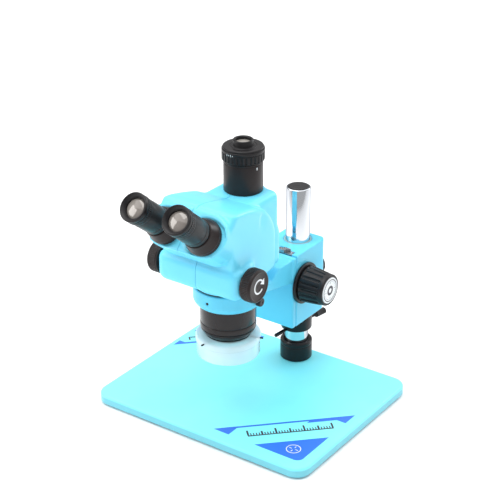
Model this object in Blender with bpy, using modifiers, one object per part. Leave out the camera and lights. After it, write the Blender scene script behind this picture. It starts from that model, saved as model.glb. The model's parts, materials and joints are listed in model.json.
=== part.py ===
"""Trinocular zoom stereo microscope on a post stand.

Metres, +Z up. The origin is the centre of the base plate's top face, where the work lies. The user
sits at -Y and the post stands at +Y. The optical axis is vertical, in front of the post. Heights
below are measured from the plate's underside, and one parent empty lowers everything by its thickness.
"""

import math

import bmesh
import bpy
from mathutils import Matrix, Vector

# ---------------------------------------------------------------- driving dimensions
GAP = 0.0003
SLIVER = 0.00003
RIM = 0.001
FINE_ROUND = 40
ROUND = 26
SMALL_ROUND = 14
PIN_ROUND = 10

BASE_WIDTH = 0.325
BASE_DEPTH = 0.260
BASE_THICK = 0.013
BASE_CORNER = 0.020
BASE_EDGE = 0.0025
FOOT_RADIUS = 0.010
FOOT_HEIGHT = 0.0025
FOOT_INSET = 0.026

POST_RADIUS = 0.016
POST_Y = 0.104
POST_TOP = 0.2645
POST_CAP_RADIUS = 0.0142
POST_CAP_RISE = 0.0010
POST_BOLT_RADIUS = 0.005
POST_BOLT_HEAD = 0.009

BASE_COLLAR_WALL = 0.0057
BASE_COLLAR_TOP = 0.040
STOP_COLLAR_WALL = 0.0050
STOP_COLLAR_BOTTOM = 0.0584
COLLAR_SCREW_Z = 0.0612
COLLAR_SCREW_RADIUS = 0.0022
COLLAR_KNOB_RADIUS = 0.0046
COLLAR_KNOB_REACH = 0.056
COLLAR_SCREW_TURN = 80.0
COLLAR_PIN_RADIUS = 0.0020
COLLAR_PIN_REACH = 0.0445
COLLAR_PIN_TURN = -96.0

BLOCK_HALF_WIDTH = 0.030
BLOCK_FRONT = 0.057
BLOCK_REAR = 0.128
BLOCK_BOTTOM = 0.087
BLOCK_TOP = 0.190
BLOCK_CORNER = 0.010
SLEEVE_WALL = 0.0022

SLIDE_HALF_FRONT = 0.009
SLIDE_HALF_BACK = 0.014
SLIDE_THICK = 0.009
RAIL_HALF_WIDTH = 0.0207
PINION_Z = 0.146
PINION_TEETH = 12
TOOTH_MODULE = 0.0009
TOOTH_OUT = 0.0007
TOOTH_IN = 0.0012
RACK_HALF_WIDTH = 0.004
RACK_DEPTH = 0.0045
PINION_SHAFT_RADIUS = 0.003
BUSH_RADIUS = 0.0065
PINION_HALF_WIDTH = 0.0075
FOCUS_KNOB_OUT = 0.071
FOCUS_SKIRT_RADIUS = 0.028
FOCUS_SKIRT_THICK = 0.0045
FOCUS_KNOB_BACK_RADIUS = 0.0245
FOCUS_KNOB_END_RADIUS = 0.0205
FOCUS_RIBS = 18
FOCUS_DISC_RADIUS = 0.0175
CLAMP_KNOB_RADIUS = 0.017
CLAMP_KNOB_Z = 0.136
CLAMP_KNOB_END = 0.150
CLAMP_SHANK_RADIUS = 0.004

ARM_HALF_WIDTH = 0.028
PLATE_HALF_WIDTH = 0.030
PLATE_THICK = 0.0083
ARM_TOP = 0.1885
ARM_LEVEL = 0.1760
ARM_UNDERSIDE = 0.1660
OPTICAL_Y = -0.0535
RING_RADIUS = 0.0441
RING_TOP = 0.190
RING_BOTTOM = 0.1645
BARREL_RADIUS = 0.0356
BARREL_WALL = 0.0032
BARREL_BOTTOM = 0.132
NOSE_RADIUS = 0.0286
NOSE_BOTTOM = 0.1185
NOSE_BORE = 0.0240
NOSE_LIP = 0.0035
LENS_SPACING = 0.024
ZOOM_LENS_RADIUS = 0.0090
SHIELD_RADIUS = 0.0405
SHIELD_TIER_RADIUS = 0.0415
SHIELD_BOTTOM = 0.092
SHIELD_TIER = 0.1125
SHIELD_TOP = 0.1210
SHIELD_WALL = 0.0022
SHIELD_SCREWS = 3
SHIELD_SCREW_TURN = -101.0

HEAD_WALL = 0.0045
FLANGE_THICK = 0.0045
ROLL_HALF_WIDTH = 0.061
ROLL_HALF_HEIGHT = 0.0205
ROLL_FRONT = -0.120
BODY_HALF_FRONT = 0.0545
BODY_HALF_REAR = 0.0470
BODY_EDGE = 0.0120
POD_HALF_WIDTH = 0.0560
POD_HALF_HEIGHT = 0.0275
POD_CORNER = 0.0245
POD_DEPTH = 0.0420
POD_BACK_SHARE = 0.94
POD_RISE = 0.0032
POD_EDGE = 0.0030
BODY_REAR = -0.015
BLOCK_HEAD_HALF = 0.038
HEAD_REAR = 0.005
HEAD_TOP = 0.3045
HEAD_HEEL_REAR = 0.010
HEAD_HEEL_TOP = 0.250
NECK_RADIUS = 0.043
NECK_TOP = 0.213

ZOOM_Y = -0.0967
ZOOM_Z = 0.2243
ZOOM_SHAFT_RADIUS = 0.003
ZOOM_KNOB_RADIUS = 0.0210
ZOOM_KNOB_OUT = 0.0773
ZOOM_TEETH = 16
ZOOM_MODULE = 0.001
CAM_RADIUS = 0.0055
CARRIER_HALF_WIDTH = 0.027
CARRIER_THICK = 0.005
GUIDE_ROD_RADIUS = 0.0015

TUBE_SPREAD = 0.028
TUBE_Y = -0.1415
TUBE_Z = 0.2942
TUBE_TILT = 38.5
TUBE_SPLAY = 2.6
TUBE_RADIUS = 0.0227
TUBE_SWING = 0.016
SWING_OUT = 22.0
SWING_IN = 16.0
SWING_CLEARANCE = 0.0006
RECESS_DEPTH = 0.0030
FACE_BEHIND_TUBE = 0.0031
TUBE_NECK_RADIUS = 0.0150
TUBE_LENGTH = 0.0155
EYEPIECE_RADIUS = 0.0176
EYEPIECE_BORE = 0.0130
DIOPTER_START = 0.055
DIOPTER_END = 0.0675
DIOPTER_RADIUS = 0.0184
EYE_LENS_RADIUS = 0.0122

CAMERA_Y = -0.0200
CAMERA_TUBE_RADIUS = 0.0245
CAMERA_TUBE_WALL = 0.0030
CAMERA_TUBE_TOP = 0.3445
CAMERA_RING_RADIUS = 0.0266
CAMERA_RING_TOP = 0.3600
CAMERA_CAP_RADIUS = 0.0254
CAMERA_CAP_TOP = 0.3625
CAMERA_BOSS_RADIUS = 0.0127
CAMERA_BOSS_BORE = 0.0095
CAMERA_BOSS_TOP = 0.3705

# ---------------------------------------------------------------- sizes that follow
POST_BOTTOM = BASE_THICK + GAP
BASE_COLLAR_RADIUS = POST_RADIUS + BASE_COLLAR_WALL
STOP_COLLAR_RADIUS = POST_RADIUS + STOP_COLLAR_WALL
SLEEVE_BORE = POST_RADIUS + GAP
SLEEVE_RADIUS = SLEEVE_BORE + SLEEVE_WALL
BLOCK_BORE = SLEEVE_RADIUS + GAP
SLIDE_FRONT = BLOCK_FRONT + GAP
SLIDE_BACK = SLIDE_FRONT + SLIDE_THICK
PINION_PITCH_RADIUS = PINION_TEETH * TOOTH_MODULE / 2
PINION_Y = SLIDE_BACK + 0.0015 + PINION_PITCH_RADIUS
RACK_PITCH_Y = PINION_Y - PINION_PITCH_RADIUS
TOOTH_PITCH = math.pi * TOOTH_MODULE
PLATE_BACK = BLOCK_FRONT - GAP
PLATE_FRONT = PLATE_BACK - PLATE_THICK
RING_BORE = BARREL_RADIUS + GAP
RING_MIDDLE = (RING_TOP + RING_BOTTOM) / 2
FLANGE_BOTTOM = RING_TOP + GAP
SHELL_BOTTOM = FLANGE_BOTTOM + FLANGE_THICK + GAP
ZOOM_PITCH_RADIUS = ZOOM_TEETH * ZOOM_MODULE / 2
CAM_Y = ZOOM_Y + 2 * ZOOM_PITCH_RADIUS
ACROSS = (math.pi / 2, 0.0, math.pi / 2)
ALONG_X = (0.0, math.pi / 2, 0.0)
ALONG_Y = (-math.pi / 2, 0.0, 0.0)
FLAT = (0.0, 0.0, 0.0)

# name: (colour, roughness, metallic)
FINISHES = {
    "cyan_paint": ((0.21, 0.76, 0.94), 0.35, 0.0),
    "base_paint": ((0.30, 0.90, 1.00), 0.35, 0.0),
    "chrome": ((0.85, 0.86, 0.88), 0.08, 1.0),
    "black_gloss": ((0.02, 0.018, 0.018), 0.18, 0.0),
    "black_satin": ((0.03, 0.028, 0.028), 0.45, 0.0),
    "brown_black": ((0.055, 0.042, 0.040), 0.40, 0.0),
    "barrel_grey": ((0.045, 0.052, 0.055), 0.42, 0.2),
    "steel": ((0.55, 0.55, 0.56), 0.30, 1.0),
    "brass": ((0.75, 0.58, 0.28), 0.30, 1.0),
    "rubber": ((0.03, 0.03, 0.03), 0.80, 0.0),
    "nylon": ((0.80, 0.80, 0.78), 0.55, 0.0),
    "white_label": ((0.92, 0.92, 0.92), 0.40, 0.0),
    "glass": ((0.75, 0.82, 0.82), 0.05, 0.0),
    "clear_guard": ((0.86, 0.97, 1.0), 0.20, 0.0),
    "aluminium": ((0.70, 0.70, 0.72), 0.35, 1.0),
}


# ---------------------------------------------------------------- modelling helpers
def clear_scene():
    for item in list(bpy.data.objects):
        bpy.data.objects.remove(item, do_unlink=True)


def new_collection(name):
    made = bpy.data.collections.new(name)
    bpy.context.scene.collection.children.link(made)
    return made


def material(finish):
    found = bpy.data.materials.get(finish)
    if found:
        return found
    colour, roughness, metallic = FINISHES[finish]
    made = bpy.data.materials.new(finish)
    made.use_nodes = True
    shader = made.node_tree.nodes["Principled BSDF"]
    shader.inputs["Base Color"].default_value = (*colour, 1.0)
    shader.inputs["Roughness"].default_value = roughness
    shader.inputs["Metallic"].default_value = metallic
    return made


def add(name, mesh, finish, at=(0, 0, 0), turn=FLAT, parent=None):
    """A part with a finish, or a hidden cutter when the finish is None."""
    item = bpy.data.objects.new(name, mesh)
    item.location = at
    item.rotation_euler = turn
    item.parent = parent or UNDERSIDE
    if finish is None:
        CUTTERS.objects.link(item)
        item.hide_render = True
        item.display_type = "WIRE"
    else:
        PARTS.objects.link(item)
        mesh.materials.append(material(finish))
    return item


def axis_empty(name, at, turn=FLAT, parent=None):
    """An empty on a joint's axis, which the pieces that turn about it hang from."""
    empty = bpy.data.objects.new(name, None)
    empty.location = at
    empty.rotation_euler = turn
    empty.parent = parent or UNDERSIDE
    PARTS.objects.link(empty)
    return empty


def smooth(mesh):
    mesh.shade_smooth()
    mesh.set_sharp_from_angle(angle=math.radians(32))


def box(name, low, high, finish=None, at=(0, 0, 0), turn=FLAT, parent=None):
    low, high = Vector(low), Vector(high)
    shape = bmesh.new()
    place = Matrix.LocRotScale((low + high) / 2, None, high - low)
    bmesh.ops.create_cube(shape, size=1.0, matrix=place)
    mesh = bpy.data.meshes.new(name)
    shape.to_mesh(mesh)
    shape.free()
    return add(name, mesh, finish, at, turn, parent)


def rod(name, radius, low, high, finish=None, at=(0, 0, 0), turn=FLAT, parent=None, segments=SMALL_ROUND):
    """A cylinder between two heights of the object's own Z axis."""
    shape = bmesh.new()
    bmesh.ops.create_cone(shape, cap_ends=True, segments=segments, radius1=radius, radius2=radius,
                          depth=high - low, matrix=Matrix.Translation((0, 0, (low + high) / 2)))
    mesh = bpy.data.meshes.new(name)
    shape.to_mesh(mesh)
    shape.free()
    smooth(mesh)
    return add(name, mesh, finish, at, turn, parent)


def turned(name, profile, finish=None, at=(0, 0, 0), turn=FLAT, parent=None, steps=ROUND):
    """A profile of (radius, height) points turned about Z. It closes on itself unless it meets the axis."""
    count = len(profile)
    edges = [(i, i + 1) for i in range(count - 1)]
    if profile[0][0] > 0:
        edges.append((count - 1, 0))
    mesh = bpy.data.meshes.new(name)
    mesh.from_pydata([(radius, 0.0, height) for radius, height in profile], edges, [])
    item = add(name, mesh, finish, at, turn, parent)
    screw = item.modifiers.new("turn", "SCREW")
    screw.steps = steps
    screw.render_steps = steps
    screw.use_merge_vertices = True
    screw.merge_threshold = 0.00001
    screw.use_smooth_shade = False
    return item


def outline(name, points, low, high, finish=None, at=(0, 0, 0), turn=FLAT, parent=None):
    """A flat outline with a thickness along its own Z axis, as a mesh."""
    curve = bpy.data.curves.new(name, "CURVE")
    curve.dimensions = "2D"
    curve.fill_mode = "BOTH"
    curve.extrude = (high - low) / 2
    spline = curve.splines.new("POLY")
    spline.points.add(len(points) - 1)
    for point, (x, y) in zip(spline.points, points):
        point.co = (x, y, 0.0, 1.0)
    spline.use_cyclic_u = True
    guide = bpy.data.objects.new(name + "_guide", curve)
    CUTTERS.objects.link(guide)
    bpy.context.view_layer.update()
    graph = bpy.context.evaluated_depsgraph_get()
    mesh = bpy.data.meshes.new_from_object(guide.evaluated_get(graph))
    bpy.data.objects.remove(guide, do_unlink=True)
    mesh.transform(Matrix.Translation((0, 0, (low + high) / 2)))
    shape = bmesh.new()
    shape.from_mesh(mesh)
    bmesh.ops.remove_doubles(shape, verts=shape.verts, dist=0.000005)
    bmesh.ops.recalc_face_normals(shape, faces=shape.faces)
    shape.to_mesh(mesh)
    shape.free()
    return add(name, mesh, finish, at, turn, parent)


def boolean(item, other, operation):
    change = item.modifiers.new(other.name, "BOOLEAN")
    change.operation = operation
    change.solver = "EXACT"
    change.object = other
    return item


def cut(item, *cutters):
    for cutter in cutters:
        boolean(item, cutter, "DIFFERENCE")
    return item


def soften(item, width, segments=2, angle=40):
    bevel = item.modifiers.new("edges", "BEVEL")
    bevel.width = width
    bevel.segments = segments
    bevel.limit_method = "ANGLE"
    bevel.angle_limit = math.radians(angle)
    return item


def settled(item):
    """The item's evaluated shape, placed from the underside, with the slivers that cuts leave welded away."""
    bpy.context.view_layer.update()
    graph = bpy.context.evaluated_depsgraph_get()
    mesh = bpy.data.meshes.new_from_object(item.evaluated_get(graph))
    mesh.transform(UNDERSIDE.matrix_world.inverted() @ item.matrix_world)
    shape = bmesh.new()
    shape.from_mesh(mesh)
    bmesh.ops.remove_doubles(shape, verts=shape.verts, dist=SLIVER)
    bmesh.ops.dissolve_degenerate(shape, edges=shape.edges, dist=SLIVER)
    shape.to_mesh(mesh)
    shape.free()
    return mesh


def rounded_rectangle(half_x, half_y, radius, steps=6):
    points = []
    for quarter, (sign_x, sign_y) in enumerate(((1, 1), (-1, 1), (-1, -1), (1, -1))):
        centre_x = sign_x * (half_x - radius)
        centre_y = sign_y * (half_y - radius)
        for step in range(steps + 1):
            angle = math.radians(90 * (quarter + step / steps))
            points.append((centre_x + radius * math.cos(angle), centre_y + radius * math.sin(angle)))
    return points


def rear_rounded(half_x, front, rear, radius, steps=5):
    """A rectangle with its two rear corners rounded."""
    points = [(-half_x, front), (half_x, front)]
    for quarter, sign in enumerate((1, -1)):
        for step in range(steps + 1):
            angle = math.radians(90 * (quarter + step / steps))
            points.append((sign * (half_x - radius) + radius * math.cos(angle),
                           rear - radius + radius * math.sin(angle)))
    return points


def hull(points):
    """The convex outline around some points, counter-clockwise."""
    chains = []
    for ordered in (sorted(points), sorted(points, reverse=True)):
        chain = []
        for x, y in ordered:
            while len(chain) > 1:
                (ax, ay), (bx, by) = chain[-2:]
                if (bx - ax) * (y - ay) - (by - ay) * (x - ax) > 1e-12:
                    break
                chain.pop()
            chain.append((x, y))
        chains.append(chain[:-1])
    return chains[0] + chains[1]


def swept_round(radius, swing, turn_low, turn_high, steps=4, round_steps=24):
    """The outline that a circle sweeps as it swings about a point below it, between two angles."""
    points = []
    for step in range(steps + 1):
        angle = math.radians(turn_low + (turn_high - turn_low) * step / steps)
        centre = (-swing * math.sin(angle), swing * math.cos(angle) - swing)
        for part in range(round_steps):
            around = 2 * math.pi * part / round_steps
            points.append((centre[0] + radius * math.cos(around), centre[1] + radius * math.sin(around)))
    return hull(points)


def gear_outline(teeth, pitch_radius, tooth_out, tooth_in, start=0.0):
    points = []
    for tooth in range(teeth):
        for share, radius in ((-0.33, -tooth_in), (-0.13, tooth_out), (0.13, tooth_out), (0.33, -tooth_in)):
            angle = start + 2 * math.pi * (tooth + share) / teeth
            reach = pitch_radius + radius
            points.append((reach * math.cos(angle), reach * math.sin(angle)))
    return points


def ribbed_outline(radius, ribs, depth, share=0.5):
    points = []
    for rib in range(ribs):
        for place, reach in ((0.0, radius - depth), (0.5 * (1 - share), radius),
                             (0.5 * (1 + share), radius), (1.0 - 0.02, radius - depth)):
            angle = 2 * math.pi * (rib + place) / ribs
            points.append((reach * math.cos(angle), reach * math.sin(angle)))
    return points


def inset(points, distance):
    """The polygon moved inward by a distance. Its points run counter-clockwise."""
    moved = []
    count = len(points)
    for index in range(count):
        before = Vector(points[index - 1])
        here = Vector(points[index])
        after = Vector(points[(index + 1) % count])
        first = (here - before).normalized()
        second = (after - here).normalized()
        normal = Vector((-first.y, first.x)) + Vector((-second.y, second.x))
        normal.normalize()
        reach = distance / max(0.5, normal.dot(Vector((-first.y, first.x))))
        moved.append(tuple(here + normal * reach))
    return moved


# ---------------------------------------------------------------- stand
def base_plate():
    plate = outline("base_plate", rounded_rectangle(BASE_WIDTH / 2, BASE_DEPTH / 2, BASE_CORNER),
                    0.0, BASE_THICK, "base_paint")
    soften(plate, BASE_EDGE, angle=60)
    hole = rod("base_bolt_hole", POST_BOLT_RADIUS + GAP, -0.01, 0.03, at=(0, POST_Y, 0))
    sink = rod("base_bolt_sink", POST_BOLT_HEAD + GAP, -0.01, 0.006, at=(0, POST_Y, 0))
    cut(plate, hole, sink)
    foot_x = BASE_WIDTH / 2 - FOOT_INSET
    foot_y = BASE_DEPTH / 2 - FOOT_INSET
    for end, y in (("front", -foot_y), ("rear", foot_y)):
        for side, x in (("left", -foot_x), ("right", foot_x)):
            rod(f"base_foot_{end}_{side}", FOOT_RADIUS, -FOOT_HEIGHT - GAP, -GAP, "rubber", at=(x, y, 0))


def post():
    bolt_top = BASE_THICK + 0.018
    cap_seat = POST_TOP - 0.004
    turned("post", [(0, cap_seat), (POST_CAP_RADIUS + GAP, cap_seat),
                             (POST_CAP_RADIUS + GAP, POST_TOP), (POST_RADIUS - 0.0006, POST_TOP),
                             (POST_RADIUS, POST_TOP - 0.0006), (POST_RADIUS, POST_BOTTOM),
                             (POST_BOLT_RADIUS + GAP, POST_BOTTOM),
                             (POST_BOLT_RADIUS + GAP, bolt_top + GAP), (0, bolt_top + GAP)],
                    "chrome", at=(0, POST_Y, 0))
    turned("post_cap", [(0, POST_TOP + POST_CAP_RISE), (POST_CAP_RADIUS - RIM, POST_TOP + POST_CAP_RISE),
                        (POST_CAP_RADIUS, POST_TOP + POST_CAP_RISE - RIM),
                        (POST_CAP_RADIUS, cap_seat + GAP), (0, cap_seat + GAP)],
           "black_satin", at=(0, POST_Y, 0))
    turned("post_bolt", [(0, bolt_top), (POST_BOLT_RADIUS, bolt_top), (POST_BOLT_RADIUS, 0.0057),
                         (POST_BOLT_HEAD, 0.0057), (POST_BOLT_HEAD, 0.0005), (0, 0.0005)],
           "steel", at=(0, POST_Y, 0), steps=SMALL_ROUND)
    bore = POST_RADIUS + GAP
    turned("base_collar", [(bore, BASE_COLLAR_TOP), (BASE_COLLAR_RADIUS - RIM, BASE_COLLAR_TOP),
                           (BASE_COLLAR_RADIUS, BASE_COLLAR_TOP - RIM),
                           (BASE_COLLAR_RADIUS, BASE_THICK + GAP), (bore, BASE_THICK + GAP)],
           "black_satin", at=(0, POST_Y, 0))


def stop_collar():
    bore = POST_RADIUS + GAP
    top = BLOCK_BOTTOM - GAP
    collar = turned("stop_collar", [(bore, top), (STOP_COLLAR_RADIUS - RIM, top),
                                    (STOP_COLLAR_RADIUS, top - RIM),
                                    (STOP_COLLAR_RADIUS, STOP_COLLAR_BOTTOM + RIM),
                                    (STOP_COLLAR_RADIUS - RIM, STOP_COLLAR_BOTTOM),
                                    (bore, STOP_COLLAR_BOTTOM)],
                    "black_satin", at=(0, POST_Y, 0))
    centre = (0, POST_Y, COLLAR_SCREW_Z)
    rear = Vector((math.cos(math.radians(COLLAR_SCREW_TURN)), math.sin(math.radians(COLLAR_SCREW_TURN)), 0))
    front = Vector((math.cos(math.radians(COLLAR_PIN_TURN)), math.sin(math.radians(COLLAR_PIN_TURN)), 0))
    rear_turn = rear.to_track_quat("Z", "Y").to_euler()
    front_turn = front.to_track_quat("Z", "Y").to_euler()
    inner = bore + 0.0002
    cut(collar,
        rod("stop_screw_hole", COLLAR_SCREW_RADIUS + GAP, POST_RADIUS - 0.004, 0.03, at=centre,
            turn=rear_turn),
        rod("stop_pin_hole", COLLAR_PIN_RADIUS + GAP, POST_RADIUS - 0.004, 0.03, at=centre, turn=front_turn))
    head = COLLAR_KNOB_REACH - 0.019
    turned("stop_collar_screw", [(0, COLLAR_KNOB_REACH), (COLLAR_KNOB_RADIUS - RIM, COLLAR_KNOB_REACH),
                                 (COLLAR_KNOB_RADIUS, COLLAR_KNOB_REACH - RIM),
                                 (COLLAR_KNOB_RADIUS, head), (COLLAR_SCREW_RADIUS, head),
                                 (COLLAR_SCREW_RADIUS, inner), (0, inner)],
           "black_satin", at=centre, turn=rear_turn, steps=SMALL_ROUND)
    rod("stop_collar_pin", COLLAR_PIN_RADIUS, inner, COLLAR_PIN_REACH, "black_gloss", at=centre,
         turn=front_turn, segments=PIN_ROUND)


# ---------------------------------------------------------------- focus block
def focus_block():
    height = BLOCK_TOP - BLOCK_BOTTOM
    plan = rear_rounded(BLOCK_HALF_WIDTH, BLOCK_FRONT, BLOCK_REAR, BLOCK_CORNER)
    block = outline("focus_block", plan, 0.0, height, "cyan_paint", at=(0, 0, BLOCK_BOTTOM))
    soften(block, 0.0020, angle=60)
    pocket = box("slide_pocket", (-RAIL_HALF_WIDTH - GAP, -0.02, -0.02),
                 (RAIL_HALF_WIDTH + GAP, SLIDE_THICK + 2 * GAP, height + 0.02),
                 at=(0, BLOCK_FRONT, BLOCK_BOTTOM))
    rack_way = box("rack_way", (-RACK_HALF_WIDTH - RIM, -0.01, -0.02),
                   (RACK_HALF_WIDTH + RIM, SLIDE_THICK + 0.0055, height + 0.02),
                   at=(0, BLOCK_FRONT, BLOCK_BOTTOM))
    chamber = rod("pinion_chamber", PINION_PITCH_RADIUS + 0.0018, -PINION_HALF_WIDTH - RIM,
                   PINION_HALF_WIDTH + RIM, at=(0, PINION_Y, PINION_Z), turn=ALONG_X)
    shaft_way = rod("bush_bore", BUSH_RADIUS + GAP, -0.05, 0.05, at=(0, PINION_Y, PINION_Z), turn=ALONG_X)
    bore = rod("post_bore", BLOCK_BORE, -0.02, height + 0.02, at=(0, POST_Y, BLOCK_BOTTOM), segments=ROUND)
    clamp_way = rod("clamp_bore", CLAMP_SHANK_RADIUS + GAP, 0.0, 0.06, at=(0, POST_Y, CLAMP_KNOB_Z),
                     turn=ALONG_Y)
    cut(block, bore, pocket, rack_way, chamber, shaft_way, clamp_way)
    turned("post_sleeve", [(SLEEVE_BORE, BLOCK_TOP - 0.0005), (SLEEVE_RADIUS, BLOCK_TOP - 0.0005),
                           (SLEEVE_RADIUS, BLOCK_BOTTOM + 0.0005), (SLEEVE_BORE, BLOCK_BOTTOM + 0.0005)],
           "nylon", at=(0, POST_Y, 0))


def guide_rails():
    rail = [(SLIDE_HALF_FRONT + GAP, 0.0), (RAIL_HALF_WIDTH, 0.0), (RAIL_HALF_WIDTH, SLIDE_THICK),
            (SLIDE_HALF_BACK + GAP, SLIDE_THICK)]
    names = {1: "guide_rail_right", -1: "guide_rail_left"}
    for side in (-1, 1):
        points = [(side * x, y) for x, y in rail]
        outline(names[side], points[::side], 0.0, BLOCK_TOP - BLOCK_BOTTOM - RIM, "steel",
                at=(0, SLIDE_FRONT, BLOCK_BOTTOM + 0.0005))


def pinion_set():
    centre = (0, PINION_Y, PINION_Z)
    drive = axis_empty("focus_axis", centre)
    half = FOCUS_KNOB_OUT - 0.006
    # The gear's own X axis lies along -Z once it is turned, so a gap faces the rack at -Y.
    start = math.pi / 2 + math.pi / PINION_TEETH
    gear = outline("pinion", gear_outline(PINION_TEETH, PINION_PITCH_RADIUS, TOOTH_OUT, TOOTH_IN, start),
                   -PINION_HALF_WIDTH, PINION_HALF_WIDTH, "steel", turn=ALONG_X, parent=drive)
    boolean(gear, rod("pinion_shaft_form", PINION_SHAFT_RADIUS, -half, half, turn=ALONG_X, parent=drive),
            "UNION")
    inner = PINION_HALF_WIDTH + 0.0025
    outer = BLOCK_HALF_WIDTH - 0.0002
    bore = PINION_SHAFT_RADIUS + GAP
    names = {1: "right", -1: "left"}
    skirt_low = BLOCK_HALF_WIDTH + 0.0006
    knob_low = skirt_low + FOCUS_SKIRT_THICK + GAP
    length = FOCUS_KNOB_OUT - knob_low
    for side in (-1, 1):
        turn = (0.0, side * math.pi / 2, 0.0)
        word = names[side]
        turned(f"pinion_bush_{word}", [(bore, outer), (BUSH_RADIUS, outer), (BUSH_RADIUS, inner),
                                       (bore, inner)],
               "brass", at=centre, turn=turn, steps=SMALL_ROUND)
        turned(f"tension_ring_{word}",
               [(bore, skirt_low + FOCUS_SKIRT_THICK),
                (FOCUS_SKIRT_RADIUS - RIM, skirt_low + FOCUS_SKIRT_THICK),
                (FOCUS_SKIRT_RADIUS, skirt_low + FOCUS_SKIRT_THICK - RIM), (FOCUS_SKIRT_RADIUS, skirt_low),
                (bore, skirt_low)],
               "black_satin", at=centre, turn=turn)
        knob = outline(f"focus_knob_{word}", ribbed_outline(FOCUS_KNOB_BACK_RADIUS, FOCUS_RIBS, 0.0011),
                       knob_low, FOCUS_KNOB_OUT, "black_satin", turn=turn, parent=drive)
        narrow = FOCUS_KNOB_END_RADIUS / FOCUS_KNOB_BACK_RADIUS
        for vertex in knob.data.vertices:
            share = (vertex.co.z - knob_low) / length
            vertex.co.x *= 1 + (narrow - 1) * share
            vertex.co.y *= 1 + (narrow - 1) * share
        seat = rod(f"disc_seat_{word}", FOCUS_DISC_RADIUS + GAP, FOCUS_KNOB_OUT - 0.0015, 0.09,
                    turn=turn, parent=drive, segments=ROUND)
        hole = rod(f"knob_bore_{word}", bore, 0.02, half + GAP, turn=turn, parent=drive)
        cut(knob, seat, hole)
        rod(f"focus_disc_{word}", FOCUS_DISC_RADIUS, FOCUS_KNOB_OUT - 0.0012, FOCUS_KNOB_OUT + 0.0004,
             "white_label", turn=turn, parent=drive, segments=ROUND)


def clamp_knob():
    start = BLOCK_BORE + GAP
    shoulder = BLOCK_REAR - POST_Y + 0.0008
    end = CLAMP_KNOB_END - POST_Y
    turned("clamp_knob", [(0, end), (CLAMP_KNOB_RADIUS - 0.002, end), (CLAMP_KNOB_RADIUS, end - 0.002),
                          (CLAMP_KNOB_RADIUS, end - 0.015), (0.010, end - 0.015), (0.010, shoulder),
                          (CLAMP_SHANK_RADIUS, shoulder), (CLAMP_SHANK_RADIUS, start), (0, start)],
           "black_satin", at=(0, POST_Y, CLAMP_KNOB_Z), turn=ALONG_Y)


# ---------------------------------------------------------------- carriage and arm
def arm():
    body = box("arm", (-PLATE_HALF_WIDTH, PLATE_FRONT, BLOCK_BOTTOM),
               (PLATE_HALF_WIDTH, PLATE_BACK, ARM_TOP),
               "cyan_paint")
    soften(body, 0.0015)
    inside = PLATE_FRONT + 0.004
    reach = OPTICAL_Y + 0.0315
    side = [(inside, ARM_TOP - 0.0012), (0.020, ARM_TOP - 0.0012), (0.004, ARM_LEVEL), (reach, ARM_LEVEL),
            (reach, ARM_UNDERSIDE), (-0.012, ARM_UNDERSIDE), (inside, ARM_UNDERSIDE - 0.0135)]
    beam = outline("arm_beam_form", side[::-1], -ARM_HALF_WIDTH, ARM_HALF_WIDTH, turn=ACROSS)
    soften(beam, 0.0015, angle=35)
    ring = turned("arm_ring_form", [(0, RING_TOP), (RING_RADIUS - RIM, RING_TOP),
                                    (RING_RADIUS, RING_TOP - RIM), (RING_RADIUS, RING_BOTTOM + 0.0075),
                                    (RING_RADIUS - 0.0018, RING_BOTTOM + 0.0035),
                                    (RING_RADIUS - 0.0045, RING_BOTTOM + 0.0008),
                                    (RING_RADIUS - 0.0065, RING_BOTTOM), (0, RING_BOTTOM)],
                  at=(0, OPTICAL_Y, 0), steps=FINE_ROUND)
    boolean(body, beam, "UNION")
    boolean(body, ring, "UNION")
    bore = rod("ring_bore", RING_BORE, 0.15, 0.21, at=(0, OPTICAL_Y, 0), segments=FINE_ROUND)
    screw_way = rod("ring_screw_way", 0.0028, 0.03, 0.06, at=(0, OPTICAL_Y, RING_MIDDLE), turn=ALONG_X)
    grub_way = rod("ring_grub_way", 0.0019, -0.06, -0.03, at=(0, OPTICAL_Y, RING_MIDDLE + RIM),
                    turn=ALONG_Y)
    cut(body, grub_way, screw_way, bore)
    end, seat = RING_RADIUS + 0.0078, RING_RADIUS + 0.0010
    turned("ring_lock_screw", [(0, end), (0.0050, end), (0.0058, end - 0.0008), (0.0058, seat),
                               (0.0024, seat),
                               (0.0024, BARREL_RADIUS + 0.0006), (0, BARREL_RADIUS + 0.0006)],
           "black_satin", at=(0, OPTICAL_Y, RING_MIDDLE), turn=ALONG_X, steps=SMALL_ROUND)
    rod("ring_grub_screw", 0.0016, -RING_RADIUS + 0.0004, -RING_RADIUS + 0.0060, "black_gloss",
         at=(0, OPTICAL_Y, RING_MIDDLE + RIM), turn=ALONG_Y, segments=PIN_ROUND)


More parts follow.
